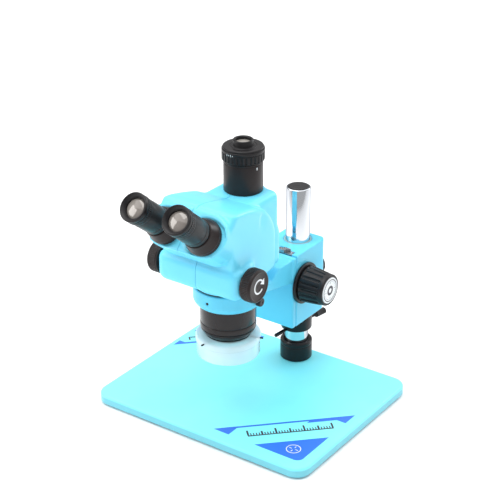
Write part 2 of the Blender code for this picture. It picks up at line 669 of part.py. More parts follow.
def slide():
    half_rack = RACK_HALF_WIDTH + GAP
    back = SLIDE_THICK
    floor = SLIDE_THICK - RACK_DEPTH + 0.0013
    section = [(-SLIDE_HALF_FRONT, 0.0), (SLIDE_HALF_FRONT, 0.0), (SLIDE_HALF_BACK, back), (half_rack, back),
               (half_rack, floor - GAP), (-half_rack, floor - GAP), (-half_rack, back),
               (-SLIDE_HALF_BACK, back)]
    outline("slide_bar", section, 0.0, 0.1060, "steel", at=(0, SLIDE_FRONT, BLOCK_BOTTOM))
    back_y = SLIDE_FRONT + floor
    points = [(back_y, BLOCK_BOTTOM + RIM)]
    teeth = int((BLOCK_TOP - BLOCK_BOTTOM - 0.004) / TOOTH_PITCH)
    first = PINION_Z - TOOTH_PITCH * math.floor((PINION_Z - BLOCK_BOTTOM - 0.003) / TOOTH_PITCH)
    root = RACK_PITCH_Y - TOOTH_IN
    tip = RACK_PITCH_Y + TOOTH_OUT
    points.append((root, BLOCK_BOTTOM + RIM))
    for tooth in range(teeth - 1):
        middle = first + tooth * TOOTH_PITCH
        for share, y in ((-0.33, root), (-0.13, tip), (0.13, tip), (0.33, root)):
            points.append((y, middle + share * TOOTH_PITCH))
    top = points[-1][1] + 0.001
    points += [(root, top), (back_y, top)]
    outline("focus_rack", points[::-1], -RACK_HALF_WIDTH, RACK_HALF_WIDTH, "brass", turn=ACROSS)


# ---------------------------------------------------------------- optical pod
def barrel():
    at = (0, OPTICAL_Y, 0)
    inner = BARREL_RADIUS - BARREL_WALL
    turned("objective_barrel", [(inner, RING_TOP), (BARREL_RADIUS, RING_TOP), (BARREL_RADIUS, BARREL_BOTTOM),
                                (inner, BARREL_BOTTOM)], "black_gloss", at=at, steps=FINE_ROUND)
    top = BARREL_BOTTOM - GAP
    chamfer = NOSE_BOTTOM + NOSE_LIP
    turned("nose_ring", [(NOSE_BORE, top), (BARREL_RADIUS - 0.0003, top),
                         (BARREL_RADIUS - 0.0008, top - 0.002),
                         (NOSE_RADIUS, chamfer), (NOSE_RADIUS, NOSE_BOTTOM),
                         (NOSE_BORE + 0.003, NOSE_BOTTOM),
                         (NOSE_BORE, NOSE_BOTTOM + 0.003)], "black_gloss", at=at, steps=FINE_ROUND)
    lens_radius = NOSE_BORE - GAP
    lens_low = NOSE_BOTTOM + NOSE_LIP
    turned("objective_lens", [(0, lens_low + 0.008), (lens_radius, lens_low + 0.005),
                              (lens_radius, lens_low + 0.002),
                              (lens_radius * 0.6, lens_low + 0.0007), (0, lens_low)], "glass", at=at)
    turned("head_flange",
           [(inner, FLANGE_BOTTOM + FLANGE_THICK), (NECK_RADIUS, FLANGE_BOTTOM + FLANGE_THICK),
                           (NECK_RADIUS, FLANGE_BOTTOM), (inner, FLANGE_BOTTOM)], "cyan_paint", at=at,
                           steps=FINE_ROUND)


def light_shield():
    at = (0, OPTICAL_Y, 0)
    bore = NOSE_RADIUS + GAP
    wall = SHIELD_WALL
    shield = turned("light_shield", [(bore, SHIELD_TOP), (SHIELD_TIER_RADIUS - 0.002, SHIELD_TOP),
                                     (SHIELD_TIER_RADIUS, SHIELD_TOP - 0.002),
                                     (SHIELD_TIER_RADIUS, SHIELD_TIER),
                                     (SHIELD_RADIUS, SHIELD_TIER - RIM),
                                     (SHIELD_RADIUS, SHIELD_BOTTOM + 0.003),
                                     (SHIELD_RADIUS - 0.003, SHIELD_BOTTOM),
                                     (SHIELD_RADIUS - wall - 0.002, SHIELD_BOTTOM),
                                     (SHIELD_RADIUS - wall, SHIELD_BOTTOM + 0.004),
                                     (SHIELD_RADIUS - wall, SHIELD_TIER + 0.003),
                                     (bore + wall, SHIELD_TIER + 0.003),
                                     (bore + wall, SHIELD_BOTTOM + 0.008), (bore, SHIELD_BOTTOM + 0.008)],
                    "clear_guard", at=at, steps=ROUND)
    low = NOSE_RADIUS + 0.0008
    high = SHIELD_TIER_RADIUS + 0.0045
    place = (0, OPTICAL_Y, SHIELD_TOP - 0.0033)
    for number in range(SHIELD_SCREWS):
        turn = (0, math.pi / 2, math.radians(SHIELD_SCREW_TURN + 360 * number / SHIELD_SCREWS))
        cut(shield, rod(f"shield_screw_way_{number}", 0.0014, 0.02, 0.05, at=place, turn=turn,
                        segments=PIN_ROUND))
        rod(f"shield_screw_{number + 1}", 0.0011, low, high, "black_gloss", at=place, turn=turn,
            segments=PIN_ROUND)


def body_outline():
    """The wide body's side outline in (Y, Z), counter-clockwise seen from +X."""
    low = NECK_TOP - 0.004
    return [(-0.1080, low), (BODY_REAR, low), (BODY_REAR, 0.2600), (-0.0190, 0.2720), (-0.0270, 0.2840),
            (-0.0400, 0.2960), (-0.0580, 0.3050), (-0.0800, 0.3105), (-0.1000, 0.3145), (-0.1120, 0.3150),
            (-0.1280, 0.2960), (-0.1160, 0.2500)]


def body_form(name, offset):
    form = outline(name, inset(body_outline(), offset), -BODY_HALF_FRONT, BODY_HALF_FRONT, turn=ACROSS)
    for vertex in form.data.vertices:
        share = min(1.0, max(0.0, (vertex.co.x + 0.110) / 0.090))
        half = BODY_HALF_FRONT + (BODY_HALF_REAR - BODY_HALF_FRONT) * share - offset
        vertex.co.z = math.copysign(half, vertex.co.z)
    soften(form, BODY_EDGE - offset, segments=4, angle=60)
    return form


def pods_form(name, offset):
    """The rounded front that carries both eyepieces, lying along their tilt."""
    tilt = math.radians(TUBE_TILT)
    axis = Vector((0, -math.cos(tilt), math.sin(tilt)))
    front = -FACE_BEHIND_TUBE - offset
    half = POD_HALF_WIDTH - offset
    form = outline(name, rounded_rectangle(half, POD_HALF_HEIGHT - offset, POD_CORNER - offset, steps=8),
                   front - POD_DEPTH, front, at=(0, TUBE_Y, TUBE_Z),
                   turn=axis.to_track_quat("Z", "Y").to_euler())
    for vertex in form.data.vertices:
        if vertex.co.z < front - POD_DEPTH / 2:
            vertex.co.x *= POD_BACK_SHARE
        vertex.co.y += POD_RISE
    soften(form, POD_EDGE, segments=2, angle=60)
    return form


def roll_form(name, offset):
    half = ROLL_HALF_HEIGHT - offset
    form = box(name, (-ROLL_HALF_WIDTH + offset, ROLL_FRONT + offset, ZOOM_Z - half),
               (ROLL_HALF_WIDTH - offset, -0.0700, ZOOM_Z + half))
    soften(form, 0.0110 - offset * 0.8, segments=3)
    return form


def block_form(name, offset):
    """The camera port's block, with a deeper heel under it."""
    rear = HEAD_HEEL_REAR - offset
    low = SHELL_BOTTOM + 0.006 + offset
    side = [(-0.0755, low), (rear, low), (rear, HEAD_HEEL_TOP), (HEAD_REAR - offset, HEAD_HEEL_TOP + 0.012),
            (HEAD_REAR - offset, HEAD_TOP - offset), (-0.0755, HEAD_TOP - offset)]
    half = BLOCK_HEAD_HALF - offset
    form = outline(name, side, -half, half, turn=ACROSS)
    soften(form, 0.0090 - offset, segments=3)
    return form


def neck_form(name, offset):
    """A loft from the round neck up to the wide body."""
    count = 48
    shape = bmesh.new()
    rings = []
    front = ROLL_FRONT + 0.0025 + offset
    rear = BODY_REAR + 0.0150 - offset
    wide = BODY_HALF_REAR - 0.0012 - offset
    for level in (0, 1):
        ring = []
        for step in range(count):
            angle = 2 * math.pi * (step + 0.5) / count
            x, y = math.cos(angle), math.sin(angle)
            if level == 0:
                reach = NECK_RADIUS - offset
                ring.append(shape.verts.new((x * reach, OPTICAL_Y + y * reach, SHELL_BOTTOM - 2 * offset)))
            else:
                across = math.copysign(abs(x) ** 0.55, x) * wide
                along = math.copysign(abs(y) ** 0.55, y) * (rear - front) / 2
                ring.append(shape.verts.new((across, (front + rear) / 2 + along, NECK_TOP + 0.004)))
        rings.append(ring)
    for step in range(count):
        after = (step + 1) % count
        shape.faces.new((rings[0][step], rings[0][after], rings[1][after], rings[1][step]))
    shape.faces.new(rings[0][::-1])
    shape.faces.new(rings[1])
    mesh = bpy.data.meshes.new(name)
    shape.to_mesh(mesh)
    shape.free()
    return add(name, mesh, None)


def head_volume(word, offset):
    whole = body_form(f"body_{word}", offset)
    for form in (pods_form, roll_form, block_form, neck_form):
        boolean(whole, form(f"{form.__name__}_{word}", offset), "UNION")
    mesh = settled(whole)
    return add(f"head_{word}", mesh, None)


def tube_axis(side):
    tilt, splay = math.radians(TUBE_TILT), math.radians(TUBE_SPLAY)
    return Vector((side * math.sin(splay), -math.cos(splay) * math.cos(tilt),
                   math.cos(splay) * math.sin(tilt)))


def tube_frames(side):
    """An empty on the swing axis and one on the eyepiece axis, both with Z along the eyepiece."""
    word = "right" if side > 0 else "left"
    turn = tube_axis(side).to_track_quat("Z", "Y").to_euler()
    up = turn.to_matrix() @ Vector((0, 1, 0))
    seat = Vector((side * TUBE_SPREAD, TUBE_Y, TUBE_Z)) - TUBE_SWING * up
    swing = axis_empty(f"swing_axis_{word}", seat, turn)
    return axis_empty(f"eyepiece_axis_{word}", (0, TUBE_SWING, 0), parent=swing)


def head_shell(frames):
    outer = head_volume("outer", 0.0)
    hollow = head_volume("hollow", HEAD_WALL)
    cut(outer, hollow)
    camera_hole = rod("camera_hole", CAMERA_TUBE_RADIUS - CAMERA_TUBE_WALL - RIM, 0.28, 0.34,
                      at=(0, CAMERA_Y, 0), segments=ROUND)
    shaft_hole = rod("zoom_shaft_hole", ZOOM_SHAFT_RADIUS + 0.0015, -0.09, 0.09, at=(0, ZOOM_Y, ZOOM_Z),
                     turn=ALONG_X)
    cut(outer, camera_hole, shaft_hole)
    floor = -FACE_BEHIND_TUBE - RECESS_DEPTH
    for side in (-1, 1):
        turns = sorted((-side * SWING_OUT, side * SWING_IN))
        recess = outline(f"tube_recess_{side}",
                         swept_round(TUBE_RADIUS + SWING_CLEARANCE, TUBE_SWING, *turns),
                         floor, 0.03, parent=frames[side])
        passage = outline(f"tube_passage_{side}",
                          swept_round(TUBE_NECK_RADIUS + 2 * SWING_CLEARANCE, TUBE_SWING, *turns),
                          floor - 0.02, 0.0, parent=frames[side])
        cut(outer, recess, passage)
    mesh = settled(outer)
    for side in (-1, 1):
        word = "right" if side > 0 else "left"
        half = add(f"half_form_{word}", mesh.copy(), None)
        near, far = sorted((side * GAP / 2, side * 0.1))
        boolean(half, box(f"half_space_{word}", (near, -0.25, 0.1), (far, 0.1, 0.4)), "INTERSECT")
        shell = settled(half)
        shell.materials.clear()
        smooth(shell)
        add(f"head_shell_{word}", shell, "cyan_paint")


def eyepiece(side, frame):
    word = "right" if side > 0 else "left"
    seat = -FACE_BEHIND_TUBE - RECESS_DEPTH + GAP
    neck_bore = EYEPIECE_RADIUS - 0.0018
    prism_end = -0.030
    turned(f"tube_mount_{word}", [(neck_bore, TUBE_LENGTH), (EYEPIECE_RADIUS + 0.0010, TUBE_LENGTH),
                                  (TUBE_RADIUS - 0.0012, 0.0015), (TUBE_RADIUS, 0.0), (TUBE_RADIUS, seat),
                                  (TUBE_NECK_RADIUS, seat), (TUBE_NECK_RADIUS, prism_end),
                                  (0.0115, prism_end), (0.0115, -0.0045), (neck_bore, -0.0045)],
           "brown_black", parent=frame, steps=ROUND)
    start = TUBE_LENGTH + GAP
    insert = neck_bore - GAP
    turned(f"eyepiece_{word}", [(EYEPIECE_BORE, DIOPTER_START - GAP), (EYEPIECE_RADIUS, DIOPTER_START - GAP),
                                (EYEPIECE_RADIUS, start), (insert, start), (insert, -0.004),
                                (EYEPIECE_BORE, -0.004)], "barrel_grey", parent=frame)
    bore = EYE_LENS_RADIUS + GAP
    turned(f"diopter_ring_{word}", [(bore, DIOPTER_END - 0.004), (DIOPTER_RADIUS - 0.0022, DIOPTER_END),
                                    (DIOPTER_RADIUS - 0.0006, DIOPTER_END),
                                    (DIOPTER_RADIUS, DIOPTER_END - 0.0008),
                                    (DIOPTER_RADIUS, DIOPTER_START), (bore, DIOPTER_START)],
           "black_satin", parent=frame)
    turned(f"eye_lens_{word}", [(0, DIOPTER_END - 0.0042), (EYE_LENS_RADIUS * 0.6, DIOPTER_END - 0.0047),
                                (EYE_LENS_RADIUS, DIOPTER_END - 0.0062),
                                (EYE_LENS_RADIUS, DIOPTER_END - 0.0095),
                                (0, DIOPTER_END - 0.0095)], "glass", parent=frame)


def zoom_set():
    centre = (0, ZOOM_Y, ZOOM_Z)
    drive = axis_empty("zoom_axis", centre)
    half = ZOOM_KNOB_OUT - 0.004
    bore = ZOOM_SHAFT_RADIUS + GAP
    for side in (-1, 1):
        word = "right" if side > 0 else "left"
        low, high = ROLL_HALF_WIDTH + 0.0008, ZOOM_KNOB_OUT
        turned(f"zoom_knob_{word}", [(0, high), (ZOOM_KNOB_RADIUS - 0.0012, high),
                                     (ZOOM_KNOB_RADIUS, high - 0.0012),
                                     (ZOOM_KNOB_RADIUS, low + 0.0008), (ZOOM_KNOB_RADIUS - 0.0008, low),
                                     (bore, low), (bore, half + GAP), (0, half + GAP)],
               "black_satin", turn=(0, side * math.pi / 2, 0), parent=drive, steps=ROUND)
    start = math.pi / 2 + math.pi / ZOOM_TEETH
    shaft = outline("zoom_shaft", gear_outline(ZOOM_TEETH, ZOOM_PITCH_RADIUS, 0.0008, 0.0013, start),
                    -0.003, 0.003, "steel", turn=ALONG_X, parent=drive)
    boolean(shaft, rod("zoom_shaft_form", ZOOM_SHAFT_RADIUS, -half, half, turn=ALONG_X, parent=drive),
            "UNION")
    cam = axis_empty("cam_axis", (0, CAM_Y, ZOOM_Z))
    drum = outline("zoom_cam", gear_outline(ZOOM_TEETH, ZOOM_PITCH_RADIUS, 0.0008, 0.0013, math.pi / 2),
                   -0.003, 0.003, "brass", turn=ALONG_X, parent=cam)
    drum_form = turned("zoom_cam_form", [(0, 0.034), (ZOOM_SHAFT_RADIUS, 0.034), (ZOOM_SHAFT_RADIUS, 0.030),
                                         (CAM_RADIUS, 0.030), (CAM_RADIUS, -0.030),
                                         (ZOOM_SHAFT_RADIUS, -0.030),
                                         (ZOOM_SHAFT_RADIUS, -0.034), (0, -0.034)],
                       turn=ALONG_X, parent=cam, steps=SMALL_ROUND)
    boolean(drum, drum_form, "UNION")


def lens_carriers():
    middle_y = OPTICAL_Y + 0.006
    lens_centres = [(x, 0.0) for x in (-LENS_SPACING / 2, LENS_SPACING / 2)]
    rod("guide_rod", GUIDE_ROD_RADIUS, 0.2010, 0.2700, "steel", at=(0, middle_y, 0), segments=PIN_ROUND)
    for word, height in (("lower", 0.2180), ("upper", 0.2480)):
        low = height - CARRIER_THICK / 2
        place = (0, middle_y, low)
        half = CARRIER_HALF_WIDTH
        plate = box(f"lens_carrier_{word}", (-half, -half / 2, 0), (half, half / 2, CARRIER_THICK),
                    "black_satin", at=place)
        lens_holes = [rod(f"carrier_lens_hole_{word}_{number}", ZOOM_LENS_RADIUS, -0.01, 0.02, segments=24,
                           at=(x, middle_y, low)) for number, (x, y) in enumerate(lens_centres)]
        rod_hole = rod(f"carrier_rod_hole_{word}", GUIDE_ROD_RADIUS + GAP, -0.01, 0.02, at=place,
                       segments=PIN_ROUND)
        cut(plate, *lens_holes, rod_hole)


def camera_port():
    at = (0, CAMERA_Y, 0)
    inner = CAMERA_TUBE_RADIUS - CAMERA_TUBE_WALL
    turned("camera_tube", [(inner, CAMERA_TUBE_TOP), (CAMERA_TUBE_RADIUS, CAMERA_TUBE_TOP),
                           (CAMERA_TUBE_RADIUS, HEAD_TOP + GAP), (inner, HEAD_TOP + GAP)],
           "black_satin", at=at, steps=ROUND)
    low = CAMERA_TUBE_TOP + GAP
    turned("camera_focus_ring", [(inner, CAMERA_RING_TOP), (CAMERA_RING_RADIUS - 0.0005, CAMERA_RING_TOP),
                                 (CAMERA_RING_RADIUS, CAMERA_RING_TOP - 0.0005),
                                 (CAMERA_RING_RADIUS, low + 0.007),
                                 (CAMERA_RING_RADIUS - 0.0012, low), (inner, low)],
           "black_satin", at=at, steps=ROUND)
    cap_low = CAMERA_RING_TOP + GAP
    turned("camera_mount", [(CAMERA_BOSS_BORE, CAMERA_BOSS_TOP), (CAMERA_BOSS_RADIUS, CAMERA_BOSS_TOP),
                            (CAMERA_BOSS_RADIUS, CAMERA_CAP_TOP),
                            (CAMERA_CAP_RADIUS - 0.0006, CAMERA_CAP_TOP),
                            (CAMERA_CAP_RADIUS, CAMERA_CAP_TOP - 0.0006), (CAMERA_CAP_RADIUS, cap_low),
                            (CAMERA_BOSS_BORE, cap_low)], "black_satin", at=at, steps=ROUND)
    turned("camera_lens", [(0, CAMERA_BOSS_TOP - 0.003), (CAMERA_BOSS_BORE * 0.6, CAMERA_BOSS_TOP - 0.0034),
                           (CAMERA_BOSS_BORE - GAP, CAMERA_BOSS_TOP - 0.0045),
                           (CAMERA_BOSS_BORE - GAP, CAMERA_BOSS_TOP - 0.0070),
                           (0, CAMERA_BOSS_TOP - 0.0070)],
           "glass", at=at)


def build():
    base_plate()
    post()
    stop_collar()
    focus_block()
    guide_rails()
    pinion_set()
    clamp_knob()
    arm()
    slide()
    barrel()
    light_shield()
    frames = {side: tube_frames(side) for side in (-1, 1)}
    bpy.context.view_layer.update()
    head_shell(frames)
    for side, frame in frames.items():
        eyepiece(side, frame)
    zoom_set()
    lens_carriers()
    camera_port()


clear_scene()
PARTS = new_collection("stereo_microscope")
CUTTERS = new_collection("cutters")
UNDERSIDE = bpy.data.objects.new("underside", None)
UNDERSIDE.location.z = -BASE_THICK
PARTS.objects.link(UNDERSIDE)
build()
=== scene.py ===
"""Looks of a trinocular stereo microscope on a post stand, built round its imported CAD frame.

The user sits at -Y and the post stands at +Y. Metres, +Z up, with the work surface at height 0.
"""

import json
import math

import bmesh
import bpy
from mathutils import Matrix, Vector

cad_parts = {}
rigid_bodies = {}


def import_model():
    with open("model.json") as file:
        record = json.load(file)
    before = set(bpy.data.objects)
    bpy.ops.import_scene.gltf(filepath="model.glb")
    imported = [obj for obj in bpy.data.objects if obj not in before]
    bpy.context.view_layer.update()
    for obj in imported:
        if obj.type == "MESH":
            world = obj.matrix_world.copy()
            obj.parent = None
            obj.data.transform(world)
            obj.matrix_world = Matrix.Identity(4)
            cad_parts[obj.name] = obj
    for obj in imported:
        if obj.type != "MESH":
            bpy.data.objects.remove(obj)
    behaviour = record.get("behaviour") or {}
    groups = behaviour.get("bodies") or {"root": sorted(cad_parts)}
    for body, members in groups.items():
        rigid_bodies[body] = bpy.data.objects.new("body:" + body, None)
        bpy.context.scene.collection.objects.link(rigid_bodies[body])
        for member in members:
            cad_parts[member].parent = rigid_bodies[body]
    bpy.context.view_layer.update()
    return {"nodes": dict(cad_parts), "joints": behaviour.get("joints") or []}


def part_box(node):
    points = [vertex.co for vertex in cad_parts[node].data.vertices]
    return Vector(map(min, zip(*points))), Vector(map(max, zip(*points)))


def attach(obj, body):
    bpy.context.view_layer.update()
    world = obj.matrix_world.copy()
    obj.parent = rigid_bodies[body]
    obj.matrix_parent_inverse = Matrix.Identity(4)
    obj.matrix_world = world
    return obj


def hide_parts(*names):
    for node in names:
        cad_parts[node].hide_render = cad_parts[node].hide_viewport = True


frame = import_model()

JOINTS = {joint["name"]: joint for joint in frame["joints"]}
SIDES = (("left", -1), ("right", 1))
FULL_TURN = 2 * math.pi
ROUND = 112
EDGE = 0.00035
GAP = 0.0003
PRINT_RISE = 0.00012
INK_RISE = 0.0001
WELD = 0.000002


# ---------------------------------------------------------------- finishes
def srgb(red, green, blue):
    """A colour as people write it, 0 to 255, as the linear one that a shader takes."""
    shares = [value / 255 for value in (red, green, blue)]
    return tuple(s / 12.92 if s < 0.04045 else ((s + 0.055) / 1.055) ** 2.4 for s in shares) + (1.0,)


class Number:
    """A shader value that can stand in a sum."""

    def __init__(self, tree, socket):
        self.tree = tree
        self.socket = socket

    def joined(self, operation, first, second):
        node = self.tree.nodes.new("ShaderNodeMath")
        node.operation = operation
        for place, value in zip(node.inputs, (first, second)):
            if isinstance(value, Number):
                self.tree.links.new(value.socket, place)
            else:
                place.default_value = value
        return Number(self.tree, node.outputs[0])

    def __add__(self, other):
        return self.joined("ADD", self, other)

    def __sub__(self, other):
        return self.joined("SUBTRACT", self, other)

    def __rsub__(self, other):
        return self.joined("SUBTRACT", other, self)

    def __mul__(self, other):
        return self.joined("MULTIPLY", self, other)

    __radd__ = __add__
    __rmul__ = __mul__


class Finish:
    """One surface finish on a Principled shader, which reads where a point is on the piece."""

    def __init__(self, name, colour, roughness, **constants):
        self.material = bpy.data.materials.new(name)
        self.material.use_nodes = True
        self.tree = self.material.node_tree
        self.shader = self.tree.nodes["Principled BSDF"]
        self.shader.inputs["Base Color"].default_value = colour
        self.shader.inputs["Roughness"].default_value = roughness
        for socket, value in constants.items():
            self.shader.inputs[socket.replace("_", " ")].default_value = value
        self.place = self.node("TexCoord").outputs["Object"]

    def node(self, kind, settings=(), values=()):
        made = self.tree.nodes.new("ShaderNode" + kind)
        for name, value in dict(settings).items():
            setattr(made, name, value)
        for name, value in dict(values).items():
            if isinstance(value, Number):
                value = value.socket
            if isinstance(value, bpy.types.NodeSocket):
                self.tree.links.new(value, made.inputs[name])
            else:
                made.inputs[name].default_value = value
        return made

    def feed(self, socket, value):
        source = value.socket if isinstance(value, Number) else value
        self.tree.links.new(source, self.shader.inputs[socket])

    def noise(self, scale, detail=3.0, stretch=None):
        place = self.place
        if stretch:
            place = self.node("Mapping", (), {"Vector": place, "Scale": stretch}).outputs["Vector"]
        made = self.node("TexNoise", (), {"Vector": place, "Scale": scale, "Detail": detail})
        return Number(self.tree, made.outputs[0])

    def mixed(self, factor, first, second):
        made = self.node("Mix", {"data_type": "RGBA"}, {0: factor, 6: first, 7: second})
        return made.outputs[2]

    def bump(self, height, strength, distance):
        made = self.node("Bump", (), {"Height": height, "Strength": strength, "Distance": distance})
        self.feed("Normal", made.outputs["Normal"])


def grained(name, light, dark, roughness, spread, grain, depth, cloud=14.0, stretch=None, **constants):
    """A finish whose colour drifts between two near tones, with a fine grain in its gloss and relief."""
    finish = Finish(name, light, roughness, **constants)
    drift = finish.noise(cloud, 4.0)
    fine = finish.noise(grain, 3.0, stretch)
    finish.feed("Base Color", finish.mixed(drift * 1.6 - 0.3, light, dark))
    finish.feed("Roughness", roughness - spread / 2 + fine * spread)
    finish.bump(fine, 1.0, depth)
    return finish.material


HEAD_PAINT = grained("sky_blue_lacquer", srgb(113, 219, 247), srgb(104, 211, 243), 0.32, 0.10, 900.0, 0.00001,
                     Coat_Weight=0.15, Coat_Roughness=0.10, Specular_IOR_Level=0.35)
CAST_PAINT = grained("sky_blue_cast_paint", srgb(100, 210, 240), srgb(90, 200, 234), 0.38, 0.12, 650.0,
                     0.000016, Coat_Weight=0.10, Coat_Roughness=0.15, Specular_IOR_Level=0.35)
CHROME = grained("polished_chrome", srgb(226, 229, 233), srgb(212, 217, 223), 0.06, 0.04, 500.0, 0.000001,
                 stretch=(1.0, 1.0, 0.08), Metallic=1.0, Specular_Tint=srgb(120, 126, 134))
GLOSS_BLACK = grained("gloss_black_enamel", srgb(33, 28, 29), srgb(26, 22, 23), 0.20, 0.08, 800.0, 0.000006,
                      Coat_Weight=0.12, Coat_Roughness=0.08, Specular_IOR_Level=0.25)
SATIN_BLACK = grained("satin_black_metal", srgb(31, 29, 31), srgb(24, 23, 25), 0.34, 0.14, 1400.0, 0.00001,
                      Specular_IOR_Level=0.25)
MOULDED_BLACK = grained("moulded_black_plastic", srgb(33, 31, 33), srgb(26, 25, 27), 0.34, 0.16, 1700.0,
                        0.00002, Specular_IOR_Level=0.28)
BROWN_BLACK = grained("brown_black_anodised", srgb(42, 35, 35), srgb(34, 28, 28), 0.34, 0.12, 1300.0, 0.00001,
                      Specular_IOR_Level=0.22)
TUBE_GREY = grained("graphite_tube_paint", srgb(44, 46, 48), srgb(36, 38, 40), 0.36, 0.12, 1200.0, 0.00001,
                    Specular_IOR_Level=0.22)
RUBBER = grained("foot_rubber", srgb(32, 32, 33), srgb(24, 24, 25), 0.72, 0.18, 900.0, 0.00004)
STEEL = grained("ground_steel", srgb(176, 180, 184), srgb(150, 154, 160), 0.28, 0.16, 600.0, 0.000006,
                stretch=(1.0, 1.0, 0.05), Metallic=1.0)
BRASS = grained("machined_brass", srgb(214, 178, 104), srgb(186, 150, 84), 0.30, 0.14, 700.0, 0.000006,
                stretch=(0.1, 1.0, 1.0), Metallic=1.0)
# The bush's grey is real, and its cyan tint is a painted reflection of the cyan base plate around it.
NYLON_WITH_CYAN_REFLECTION = grained("grey_nylon_bush", srgb(148, 186, 194), srgb(134, 174, 184), 0.55, 0.12, 800.0, 0.00002)
LABEL = grained("white_label_film", srgb(236, 238, 240), srgb(226, 229, 232), 0.30, 0.08, 900.0, 0.000006)
WHITE_INK = grained("white_ink", srgb(232, 236, 238), srgb(216, 222, 226), 0.45, 0.10, 1600.0, 0.000006)
BLUE_INK = grained("blue_ink", srgb(46, 116, 226), srgb(40, 104, 214), 0.38, 0.10, 900.0, 0.000006)
DARK_INK = grained("dark_ink", srgb(44, 42, 52), srgb(54, 50, 58), 0.45, 0.10, 900.0, 0.000006)


def glass_finish():
    """A coated lens seen from outside: dark and warm in the middle, with a painted pale greyish sheen at its
    rim, where it is seen edge-on.
    """
    finish = Finish("coated_lens", srgb(120, 112, 104), 0.08, Coat_Weight=0.6, Coat_Roughness=0.03,
                    Metallic=0.15)
    drift = finish.noise(60.0, 2.0)
    facing = Number(finish.tree, finish.node("LayerWeight", (), {"Blend": 0.35}).outputs["Facing"])
    middle_tone, painted_rim_sheen = srgb(112, 104, 99), srgb(176, 173, 166)
    # Painted sheen: where the surface turns edge-on to the camera, the colour goes from the middle tone to
    # the pale rim tone.
    finish.feed("Base Color", finish.mixed(facing * 0.8 + drift * 0.2, middle_tone, painted_rim_sheen))
    finish.feed("Roughness", 0.05 + drift * 0.06)
    return finish.material


def shield_finish():
    """The cloudy clear plastic of the light guard."""
    finish = Finish("clear_guard_plastic", srgb(214, 244, 252), 0.16, Coat_Weight=0.5, Coat_Roughness=0.08,
                    IOR=1.35)
    cloud = finish.noise(40.0, 3.0)
    finish.feed("Base Color", finish.mixed(cloud, srgb(236, 252, 255), srgb(212, 243, 252)))
    finish.feed("Alpha", 0.52 + cloud * 0.16)
    finish.feed("Roughness", 0.12 + cloud * 0.1)
    return finish.material


def base_finish():
    """The base plate's powder coat, with painted shade that darkens its sides below the top and its rim."""
    # side is the plate's colour darkened by painted shade, for its sides.
    light, dark, side = srgb(136, 241, 252), srgb(127, 234, 249), srgb(118, 204, 220)
    finish = Finish("pale_aqua_base_paint", light, 0.36, Coat_Weight=0.10, Coat_Roughness=0.15,
                    Specular_IOR_Level=0.30)
    drift = finish.noise(14.0, 4.0)
    fine = finish.noise(750.0)
    height = Number(finish.tree, finish.node("SeparateXYZ", (), {"Vector": finish.place}).outputs["Z"])
    top = finish.mixed(drift * 1.6 - 0.3, light, dark)
    # Painted shade: below the top the colour moves to the darker side tone, which stands for the shade on the
    # plate's sides.
    finish.feed("Base Color", finish.mixed(height * -600.0 - 1.6, top, side))
    finish.feed("Roughness", 0.30 + fine * 0.12)
    finish.bump(fine, 1.0, 0.000012)
    return finish.material


BASE_PAINT_WITH_SIDE_SHADE = base_finish()
LENS = glass_finish()
GUARD = shield_finish()


# ---------------------------------------------------------------- the workbench
def choose(*items):
    bpy.ops.object.select_all(action="DESELECT")
    for item in items:
        item.select_set(True)
    bpy.context.view_layer.objects.active = items[0]


def edit(item):
    choose(item)
    bpy.context.tool_settings.mesh_select_mode = (True, False, False)
    bpy.ops.object.mode_set(mode="EDIT")


def leave():
    bpy.ops.object.mode_set(mode="OBJECT")


def everything():
    bpy.ops.mesh.select_all(action="SELECT")


def pick(item, kind, test):
    """In edit mode, selects the points, edges or faces that pass the test and nothing else."""
    bpy.context.tool_settings.mesh_select_mode = (kind == "POINT", kind == "EDGE", kind == "FACE")
    mesh = bmesh.from_edit_mesh(item.data)
    mesh.select_mode = {{"POINT": "VERT"}.get(kind, kind)}
    bpy.ops.mesh.select_all(action="DESELECT")
    for element in {"POINT": mesh.verts, "EDGE": mesh.edges, "FACE": mesh.faces}[kind]:
        if test(element):
            element.select_set(True)
    mesh.select_flush_mode()
    bmesh.update_edit_mesh(item.data)


def apply(item, kind, **settings):
    choose(item)
    modifier = item.modifiers.new(kind.title(), kind)
    for name, value in settings.items():
        setattr(modifier, name, value)
    bpy.ops.object.modifier_apply(modifier=modifier.name)


def soft_edges(item, width):
    apply(item, "BEVEL", width=width, segments=2, limit_method="ANGLE", angle_limit=math.radians(30))


def smooth(item, angle=34):
    choose(item)
    bpy.ops.object.shade_smooth_by_angle(angle=math.radians(angle))


def settle(item, place=None):
    """Puts a piece in its place and leaves its object at the origin, unturned and unscaled."""
    if place is not None:
        item.matrix_world = place @ item.matrix_world
    choose(item)
    bpy.ops.object.transform_apply(location=True, rotation=True, scale=True)


def hand_in(item, body, slot, material, *nodes):
    """Finishes a piece: its material, the body it rides on and the CAD nodes it stands for."""
    item.data.materials.clear()
    item.data.materials.append(material)
    for polygon in item.data.polygons:
        polygon.material_index = 0
    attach(item, body)
    if nodes:
        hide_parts(*nodes)
    return item


def facing(origin, direction):
    """A place at that origin whose Z lies along the direction."""
    turn = Vector(direction).to_track_quat("Z", "Y").to_matrix().to_4x4()
    return Matrix.Translation(origin) @ turn


def upright(x, y, z=0.0):
    return Matrix.Translation((x, y, z))


def sideways(side, y, z):
    """A place on a cross shaft, with Z pointing out of that side."""
    return Matrix.Translation((0, y, z)) @ Matrix.Rotation(side * math.pi / 2, 4, "Y")


